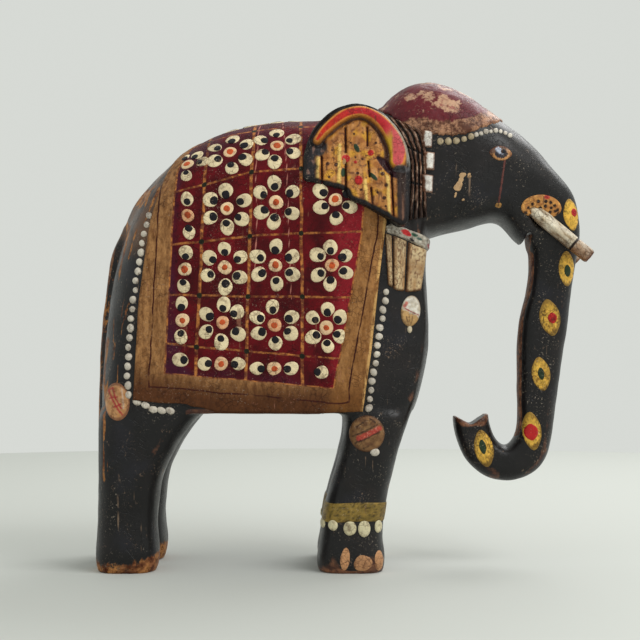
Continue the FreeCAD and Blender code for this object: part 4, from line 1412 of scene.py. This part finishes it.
def medallion(name, node, slot_name, place, outline, rise, colour):
    """A low domed disc; colour takes the offset (u, v) in design units."""
    rings, count = 26, 60
    batch = Batch()
    shares = np.sin(np.linspace(0, math.pi / 2, rings + 1))
    offsets = [(0.0, 0.0)]
    heights = [rise]
    for share in shares[1:]:
        for i in range(count):
            angle = 2 * math.pi * i / count
            radius = outline(angle) * share
            offsets.append((radius * math.cos(angle), radius * math.sin(angle)))
            heights.append(rise * math.sqrt(max(0, 1 - share ** 3)))
    points, colours = [], []
    for (u, v), height in zip(offsets, heights):
        point, normal = place(u, v)
        height += 0.12 * noise.noise(Vector((u, v, 4)))
        points.append(point + normal * height)
        colours.append(colour(u, v))
    for offset in offsets[-count:] + offsets[:1]:
        point, normal = place(*offset)
        points.append(point - normal * MEDALLION_SINK)
    colours += colours[-count:] + colours[:1]
    batch.add(points, fan_faces(rings, count), colours)
    batch.build(name, trim_material, slot_name, node)


def ellipse(half_u, half_v, turn=0.0):
    def outline(angle):
        a = angle - turn
        return 1 / math.sqrt((math.cos(a) / half_u) ** 2 + (math.sin(a) / half_v) ** 2)

    return outline


def stroke(u, v, start, end, half):
    """1 inside a straight brush stroke, falling to 0 outside it."""
    step = (end[0] - start[0], end[1] - start[1])
    t = ((u - start[0]) * step[0] + (v - start[1]) * step[1]) / (step[0] ** 2 + step[1] ** 2)
    t = min(1, max(0, t))
    wob = 0.35 * noise.noise(Vector((u * 0.7, v * 0.7, 5)))
    away = math.hypot(u - start[0] - t * step[0], v - start[1] - t * step[1]) + wob
    return ramp(away, half + 0.3, half - 0.3)


def rump_colour(u, v):
    speck = noise.noise(Vector((u / 3, v / 3, 1)))
    tint = fade(srgb(216, 166, 116), srgb(184, 128, 78), 0.5 + speck)
    for start, end in (((-4, 6), (-1, 0)), ((-1, 0), (2, -6)), ((2, -6), (4, -8)), ((-1.5, 8), (0, 2)),
                       ((0, 2), (3, -4)), ((-3.5, 2), (1, 3)), ((-1, -3.5), (3, -1.5)),
                       ((-4.5, 7), (-1.5, 8.5))):
        tint = fade(tint, srgb(176, 36, 50), stroke(u, v, start, end, 0.5) * 0.85)
    tint = fade(tint, srgb(224, 200, 178), stroke(u, v, (3.4, 8), (4.6, -4), 0.5) * 0.6)
    return fade(tint, srgb(120, 72, 52), ramp(math.hypot(u / 7.6, v / 10.6), 0.86, 1.0) * 0.8)


def fore_colour(u, v):
    speck = noise.noise(Vector((u / 2.5, v / 2.5, 11)))
    tint = fade(srgb(140, 104, 66), srgb(104, 70, 44), 0.5 + speck)
    tint = fade(tint, srgb(184, 60, 54), stroke(u, v, (-4.5, -2.8), (7.5, 3.4), 1.6) * 0.75)
    tint = fade(tint, srgb(206, 132, 112), ramp(noise.noise(Vector((u, v, 3))), 0.2, 0.4)
                * stroke(u, v, (-3, -2), (6, 3), 1.2))
    for start, end in (((-8, -1.8), (6, 5.6)), ((-7, -6), (8, 1.4)), ((-6, 4), (-2, 7)),
                       ((-2, -9), (1, -7.4)), ((2, 9), (5, 7))):
        tint = fade(tint, srgb(50, 28, 22), stroke(u, v, start, end, 0.38) * 0.9)
    return fade(tint, srgb(78, 50, 34), ramp(math.hypot(u, v) / 11, 0.88, 1.0) * 0.8)


def pendant_colour(u, v):
    speck = noise.noise(Vector((u / 2, v / 2, 6)))
    tint = fade(srgb(230, 224, 212), srgb(188, 176, 156), 0.5 + speck)
    tint = fade(tint, srgb(192, 148, 84), ramp(v + 0.55 * u + speck * 2, -0.5, -2.5) * 0.9)
    tint = fade(tint, srgb(150, 44, 40), stroke(u, v, (-4, 1.4), (4.6, -2.6), 0.35) * 0.9)
    tint = fade(tint, srgb(190, 74, 60), stroke(u, v, (-4, 3), (-3, 5), 0.9) * 0.8)
    for toe in (-3.4, -1.4, 0.8):
        tint = fade(tint, srgb(84, 56, 32), stroke(u, v, (toe, -3.6), (toe * 0.4 - 0.4, -8.2), 0.3) * 0.8)
    return fade(tint, srgb(120, 92, 66), ramp(math.hypot(u / 6.1, v / 9.6), 0.88, 1.0) * 0.6)


def eye_colour(u, v):
    speck = noise.noise(Vector((u, v, 2)))
    near = math.hypot(u / 6.2, (v + 0.3) / 4.4) + speck * 0.2
    gold = ramp(near, 0.60, 0.74) * (0.25 + 0.75 * ramp(v - 0.25 * u, 1.6, 0.2))
    tint = fade(srgb(44, 42, 52), srgb(190, 138, 88), gold)
    tint = fade(tint, srgb(96, 56, 42), ramp(near + speck * 0.2, 0.86, 1.0) * 0.8)
    # painted highlight: a blue-white sheen over the upper rear of the eye
    white = ramp(math.hypot((u + 1.0) / 2.6, (v - 1.0 + 0.4 * u) / 2.2) + speck * 0.4, 1.05, 0.75)
    tint = fade(tint, srgb(178, 186, 204), white * 0.95)
    tint = fade(tint, srgb(190, 150, 120), ramp(math.hypot(u - 3.6, v - 1.6) + speck, 1.7, 0.9) * 0.6)
    return fade(tint, srgb(16, 16, 26), ramp(math.hypot((u - 1.3) / 1.2, v - 0.9), 1.6, 1.2))


def socket_colour(u, v):
    speck = noise.noise(Vector((u / 2.2, v / 2.2, 2)))
    tint = fade(srgb(208, 150, 78), srgb(166, 108, 54), 0.5 + speck)
    for spot_u, spot_v in SOCKET_DOTS:
        tint = fade(tint, srgb(38, 18, 12), ramp(math.hypot(u - spot_u, v - spot_v) + speck * 0.4, 1.35, 1.0))
    return fade(tint, srgb(180, 50, 40), ramp(math.hypot((u - 3.2) / 1.6, v - 7.2), 1.5, 1.0))


SOCKET_DOTS = ((-10.5, -2.6), (-8, -5), (-9.2, 0.3), (-6.4, 2.7), (-5.4, -2.4), (-2.6, 4.4), (-1.2, 0.4),
               (2.4, 4.7), (2.2, 1.6), (5.6, 4.0), (6, 0.8), (8.4, 1.9), (8.6, -1.2), (10.4, -0.6),
               (10.8, -3.2), (5.4, -2.0), (-3.6, -4.4))


def socket_outline(angle):
    """A rounded arch, wide and flat below where the tusk stands."""
    high = math.sin(angle)
    wide, tall = 13.2, 8.6 if high > 0 else 6.2
    return 1 / math.sqrt((math.cos(angle) / wide) ** 2 + (high / tall) ** 2)


ANKLET_LOW, ANKLET_HIGH = 31.6, 43.2
FORE_LEG_X = 5.0                                    # the fore legs' middle at the anklet


def anklet(side):
    """A painted band right round a fore leg."""
    batch = Batch()
    around, up = 96, 14
    front, back, colours = [], [], []
    for j in range(up + 1):
        v = j / up
        for i in range(around):
            angle = 2 * math.pi * i / around
            z = ANKLET_LOW + (ANKLET_HIGH - ANKLET_LOW) * v + 0.5 * math.sin(angle * 3 + side)
            origin = Vector((FORE_LEG_X, side * LEG_MIDDLE_Y, z))
            hit, _, face, _ = skin_tree.ray_cast(origin, Vector((math.cos(angle), math.sin(angle), 0)))
            hit, normal = np.array(hit), face_normal(face)
            edge = min(v, 1 - v) / 0.16
            front.append(hit + normal * (0.12 + 0.38 * math.sqrt(max(0, 1 - max(0, 1 - edge) ** 2))))
            back.append(hit - normal * 0.7)
            speck = noise.noise(Vector((angle * 6, z / 3, side)))
            tint = fade(srgb(118, 98, 42), srgb(156, 128, 60), 0.5 + speck)
            worn_share = ramp(noise.noise(Vector((angle * 12, z, 5))), 0.15, 0.4) * 0.8
            colours.append(fade(tint, srgb(66, 54, 30), worn_share))
    count = around * (up + 1)
    faces = []
    for j in range(up):
        for i in range(around):
            a, b = j * around + i, j * around + (i + 1) % around
            c, d = b + around, a + around
            faces += [(a, b, c, d), (d + count, c + count, b + count, a + count)]
    for i in range(around):
        a, b = i, (i + 1) % around
        faces.append((b, a, a + count, b + count))
        a, b = a + up * around, b + up * around
        faces.append((a, b, b + count, a + count))
    batch.add(front + back, faces, colours + colours)
    name = SIDE_NAMES[side]
    batch.build("anklet_band_" + name, trim_material, "ochre_gesso", "anklet_" + name)


RUMP_PLACE, FORE_PLACE, PENDANT_PLACE = (-138.0, 105.4), (14.8, 85.9), (41.8, 160.8)
EYE_PLACE, SOCKET_PLACE = (98.0, 258.6), (124.5, 225.0)
MEDALLIONS = (("rump_boss_", "rump_tassel_", "trim_gesso", RUMP_PLACE, ellipse(8.0, 11.6, 0.08), 1.7,
               rump_colour),
              ("fore_boss_", "fore_tassel_", "trim_gesso", FORE_PLACE, ellipse(10.8, 11.2), 2.0, fore_colour),
              ("chest_boss_", "chest_pendant_", "pearl_paste", PENDANT_PLACE, ellipse(6.0, 9.6, -0.12), 1.9,
               pendant_colour),
              ("eye_boss_", "eye_", "trim_gesso", EYE_PLACE, leaf(4.6, 6.3, -0.06), 1.1, eye_colour),
              ("socket_boss_", "tusk_socket_", "trim_gesso", SOCKET_PLACE, socket_outline, 1.3,
               socket_colour))
for side in (RIGHT, LEFT):
    for piece, node, slot_name, centre, outline, rise, colour in MEDALLIONS:
        medallion(piece + SIDE_NAMES[side], node + SIDE_NAMES[side], slot_name, side_place(*centre, side),
                  outline, rise, colour)
    anklet(side)


# ---------------------------------------------------------------- tusks
TUSK_FACETS, TUSK_RING = 7, 0.812                   # whittled faces, and the cut ring's share of the length


def tusk(side):
    """A whittled, faceted peg, whitish with a dark ring and a brown tip, with painted shade on its underside.
    """
    box_low, box_high = node_box("tusk_" + SIDE_NAMES[side])
    root = np.array([box_low[0] + 7.0, side * 18.0, box_high[2] - 5.0])
    tip = np.array([box_high[0] - 0.8, side * 27.0, box_low[2] + 3.0])
    axis = (tip - root) / np.linalg.norm(tip - root)
    across = np.cross(axis, (0, 0, 1))
    across /= np.linalg.norm(across)
    upward = np.cross(across, axis)
    length = np.linalg.norm(tip - root)
    steps = [0.0, 0.1, 0.2, 0.3, 0.4, 0.45, 0.5, 0.55, 0.6, 0.65, 0.7, 0.74, 0.78, 0.796, 0.804, 0.812, 0.82,
             0.828, 0.85, 0.88, 0.91, 0.94, 0.97, 0.985, 1.0]
    around = 28
    points, colours = [], []
    for share in steps:
        radius = 2.2 + 2.7 * ramp(share, 0.0, 0.42) - 0.35 * share
        radius *= 1.0 - 0.1925 * max(0, (share - 0.97) / 0.03) ** 2
        radius -= 0.35 * ramp(abs(share - TUSK_RING), 0.013, 0.004)
        for i in range(around):
            angle = 2 * math.pi * i / around
            facet = 2 * math.pi / TUSK_FACETS
            within = (angle % facet) - facet / 2
            faceted = math.cos(facet / 2) / math.cos(within) * 1.06
            push = radius * (0.35 + 0.65 * faceted) + 0.18 * noise.noise(Vector((share * 9, angle * 2, side)))
            points.append(root + axis * length * share
                          + (across * math.cos(angle) + upward * math.sin(angle)) * push)
            speck = noise.noise(Vector((share * 14, angle * 2.0, 4)))
            fine = noise.noise(Vector((share * 40, angle * 5.0, 9)))
            tint = fade(srgb(228, 220, 200), srgb(176, 152, 116), 0.40 + speck)
            tint = fade(tint, srgb(104, 82, 58), ramp(fine + 0.5 * speck, 0.18, 0.40) * 0.85)
            # painted shade: the tusk turns brown on its underside, the more so the more it faces down
            tint = fade(tint, srgb(116, 84, 56), ramp(-math.sin(angle) + speck * 0.6, 0.25, 0.9) * 0.75)
            # the brown past the ring is the tip's own colour, laid on stronger underneath as painted shade
            tint = fade(tint, srgb(140, 96, 64), ramp(share, 0.80, 0.84) * (0.7 - 0.3 * math.sin(angle)))
            tint = fade(tint, srgb(40, 26, 20), ramp(abs(share - TUSK_RING), 0.016, 0.009))
            tint = fade(tint, srgb(110, 66, 44), ramp(share, 0.975, 0.995))
            colours.append(tint)
    faces = [(r * around + i, r * around + (i + 1) % around, (r + 1) * around + (i + 1) % around,
              (r + 1) * around + i) for r in range(len(steps) - 1) for i in range(around)]
    points += [root, tip + axis * 0.35]
    colours += [colours[0], srgb(120, 78, 54)]
    first, last = len(points) - 2, len(points) - 1
    end = (len(steps) - 1) * around
    faces += [(first, (i + 1) % around, i) for i in range(around)]
    faces += [(end + i, end + (i + 1) % around, last) for i in range(around)]
    batch = Batch()
    batch.add(points, [tuple(reversed(face)) for face in faces], colours)
    name = SIDE_NAMES[side]
    batch.build("tusk_peg_" + name, tusk_material, "tusk_wood", "tusk_" + name)


tusk_material = painted("tusk_paint", srgb(120, 92, 64), chips=0.8, blotch=0.35, rough=(0.35, 0.6), bump=0.7)
for side in (RIGHT, LEFT):
    tusk(side)


# ---------------------------------------------------------------- spots on the trunk, legs and face
TRUNK_LEAVES = ((144.2, 221.5, 5.2, 8.8, 0.16, RED, (2.0, 2.4), (1.6, 1.4)),
                (141.7, 187.6, 5.3, 9.7, 0.05, GREEN, (2.1, 3.5), (0.2, -1.2)),
                (131.0, 156.8, 6.6, 10.2, 0.18, RED, (2.9, 3.2), (1.4, -0.2)),
                (125.4, 121.3, 5.9, 9.4, 0.16, GREEN, (2.1, 3.6), (0.0, 0.2)),
                (119.7, 85.3, 6.0, 10.6, 0.14, RED, (4.3, 4.8), (-0.4, -0.6)),
                (89.6, 74.2, 6.1, 10.3, 0.20, GREEN, (2.2, 4.2), (-0.8, 1.0)))
ANKLE_DROPS = ((-12.2, 29.8, 1.5, 2.9), (-5.9, 29.6, 2.9, 3.4), (4.4, 27.9, 4.0, 4.5),
               (13.2, 27.6, 3.8, 5.2), (21.9, 28.6, 2.2, 4.2))
TOE_PATCHES = ((1.4, 9.0, 2.8, 7.6, 0.25), (12.4, 6.6, 5.8, 4.9, 0.5), (22.4, 7.6, 2.8, 6.4, 0.1))
FACE_CHIPS = ((74.0, 244.6, 1.9, 1.9), (73.0, 241.6, 1.4, 2.2), (71.4, 237.8, 2.2, 3.6),
              (78.2, 244.4, 1.1, 1.9), (69.8, 232.6, 0.7, 1.7), (74.6, 229.6, 0.8, 0.8))
TEAR_LINE = ((100.6, 254.0), (98.6, 240.0), (96.9, 227.6))      # the brown line down from the eye
LINE_DABS = 24


def leaf_colour(u, v):
    """Mustard yellow, patchy and greenish, thin and dark at the rim."""
    speck = noise.noise(Vector((u / 2.4, v / 2.4, 7)))
    fine = noise.noise(Vector((u * 1.3, v * 0.8, 3)))
    tint = fade(srgb(240, 188, 78), srgb(200, 160, 60), 0.42 + speck)
    tint = fade(tint, srgb(118, 92, 40), ramp(fine + speck * 0.4, 0.12, 0.42) * 0.7)
    return fade(tint, srgb(104, 78, 36), ramp(math.hypot(u / 5.6, v / 9.6) + fine * 0.25, 0.84, 1.0) * 0.7)


def small_spots(side):
    batch = Batch()
    for x, z, wide, tall, turn, paint, core, shift in TRUNK_LEAVES:
        place = side_place(x, z, side)
        dab(batch, place, leaf(wide, tall, math.pi / 2 + turn), 0.45, 0.0, leaf_colour,
            rings=(0, 0.15, 0.3, 0.45, 0.6, 0.7, 0.8, 0.88, 0.94, 1.0), tint=0.05, count=56)
        core_place = side_place(x + shift[0], z + shift[1], side)
        dab(batch, core_place, leaf(*core, math.pi / 2 + turn), 0.25, 0.42, paint,
            rings=(0, 0.5, 0.85, 1.0), count=24)
    for x, z, wide, tall in ANKLE_DROPS:
        dab(batch, side_place(x, z, side), ellipse(wide, tall), 1.1, 0.0, srgb(226, 216, 178),
            rings=(0, 0.4, 0.7, 0.9, 1.0), count=24)
    for x, z, wide, tall, turn in TOE_PATCHES:
        dab(batch, side_place(x, z, side), blob(wide, 0.09, tall / wide, math.pi / 2 - turn * 0.3), 0.5, 0.0,
            srgb(200, 148, 104), rings=(0, 0.4, 0.7, 0.9, 1.0), tint=0.2, count=30)
    for x, z, wide, tall in FACE_CHIPS:
        dab(batch, side_place(x, z, side), blob(wide, 0.22, tall / wide, math.pi / 2 - 0.25), 0.12, 0.0,
            srgb(196, 160, 118), count=22)
    dab(batch, side_place(19.6, 74.6, side), ellipse(2.9, 2.5), 1.4, 0.0, WHITE,
        rings=(0, 0.4, 0.7, 0.9, 1.0))
    dab(batch, side_place(41.2, 149.6, side), ellipse(1.5, 2.4), 1.0, 0.0, srgb(214, 200, 170))
    dab(batch, side_place(97.0, 226.6, side), blob(1.6, 0.12, 1.3, 0.3), 0.6, 0.0, srgb(176, 130, 70))
    for i in range(LINE_DABS):
        x, z = along_line(TEAR_LINE, i / (LINE_DABS - 1))
        dab(batch, side_place(x, z, side), ellipse(rng.uniform(0.5, 0.85), 0.9, 0.1), 0.16, 0.0,
            srgb(98, 54, 48), count=10)
    batch.build("painted_spots_" + SIDE_NAMES[side], spot_material, "trim_gesso")


spot_material = painted("spot_paint", srgb(60, 44, 30), chips=0.8, blotch=0.45, rough=(0.38, 0.6), bump=0.6,
                        grime=0.75)
for side in (RIGHT, LEFT):
    small_spots(side)


# ---------------------------------------------------------------- hidden dowels
def bare_wood():
    """Unpainted softwood with fine grain."""
    n = Nodes("bare_wood")
    grain = n.noise(180, 5, 0.6, n.stretched((0.2, 1, 1)))
    wood = n.mix(grain, srgb(196, 156, 108), srgb(150, 108, 68))
    return worn(n, wood, srgb(120, 84, 52), chips=0.3, rough=(0.55, 0.8), bump=0.4)


dowel_wood = bare_wood()
for name in ("leg_dowels", "torso_dowels", "neck_dowels", "trunk_dowel", "ear_pins", "tail_pin"):
    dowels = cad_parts[name]
    dowels.data.materials.clear()
    dowels.data.materials.append(dowel_wood)


# ---------------------------------------------------------------- stage, light and camera
LIGHT_AIM = Vector((0, 0, 0.14))                    # metres, about the elephant's middle
FLOOR_RADIUS = 1.0                                  # metres, round, well past the object on every side


def area_light(name, place, size, power):
    data = bpy.data.lights.new(name, "AREA")
    data.shape = "RECTANGLE"
    data.size, data.size_y = size
    data.energy = power
    light = bpy.data.objects.new(name, data)
    light.location = place
    light.rotation_euler = (LIGHT_AIM - Vector(place)).to_track_quat("-Z", "Y").to_euler()
    bpy.context.scene.collection.objects.link(light)


def stage():
    """A round pale floor under an even pale sky."""
    mesh = bpy.data.meshes.new("studio_floor")
    around = 128
    turns = [2 * math.pi * i / around for i in range(around)]
    rim = [(FLOOR_RADIUS * math.cos(turn), FLOOR_RADIUS * math.sin(turn), 0) for turn in turns]
    mesh.from_pydata(rim, [], [tuple(range(around))])
    floor = bpy.data.objects.new("studio_floor", mesh)
    bpy.context.scene.collection.objects.link(floor)
    material = bpy.data.materials.new("studio_floor")
    material.use_nodes = True
    shader = material.node_tree.nodes["Principled BSDF"]
    shader.inputs["Base Color"].default_value = (*srgb(200, 202, 197), 1)
    shader.inputs["Roughness"].default_value = 0.8
    shader.inputs["Specular IOR Level"].default_value = 0.2
    mesh.materials.append(material)
    floor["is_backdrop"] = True
    world = bpy.data.worlds.new("studio")
    world.use_nodes = True
    background = world.node_tree.nodes["Background"]
    background.inputs["Color"].default_value = (*srgb(218, 221, 216), 1)
    background.inputs["Strength"].default_value = 0.965
    bpy.context.scene.world = world
    bpy.context.scene.view_settings.view_transform = "Standard"


stage()
area_light("key", (0.70, -0.60, 1.05), (0.8, 0.6), 7.5)
area_light("back", (0.50, 0.75, 1.0), (0.9, 0.7), 7)

FOCAL_WIDTHS = 2.74                                 # focal length over the sensor's width
CAMERA_PLACE = (-13.9, -1120, 155.3)                # design units, level and square to the right side
camera_data = bpy.data.cameras.new("camera")
camera_data.sensor_width = 36
camera_data.lens = FOCAL_WIDTHS * camera_data.sensor_width
camera = bpy.data.objects.new("camera", camera_data)
camera.location = Vector(CAMERA_PLACE) * MM
camera.rotation_euler = (math.pi / 2, 0, 0)
bpy.context.scene.collection.objects.link(camera)
bpy.context.scene.camera = camera

bpy.context.view_layer.update()
now_low, now_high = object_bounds()
size_log["scene"] = [list(now_low), list(now_high)]
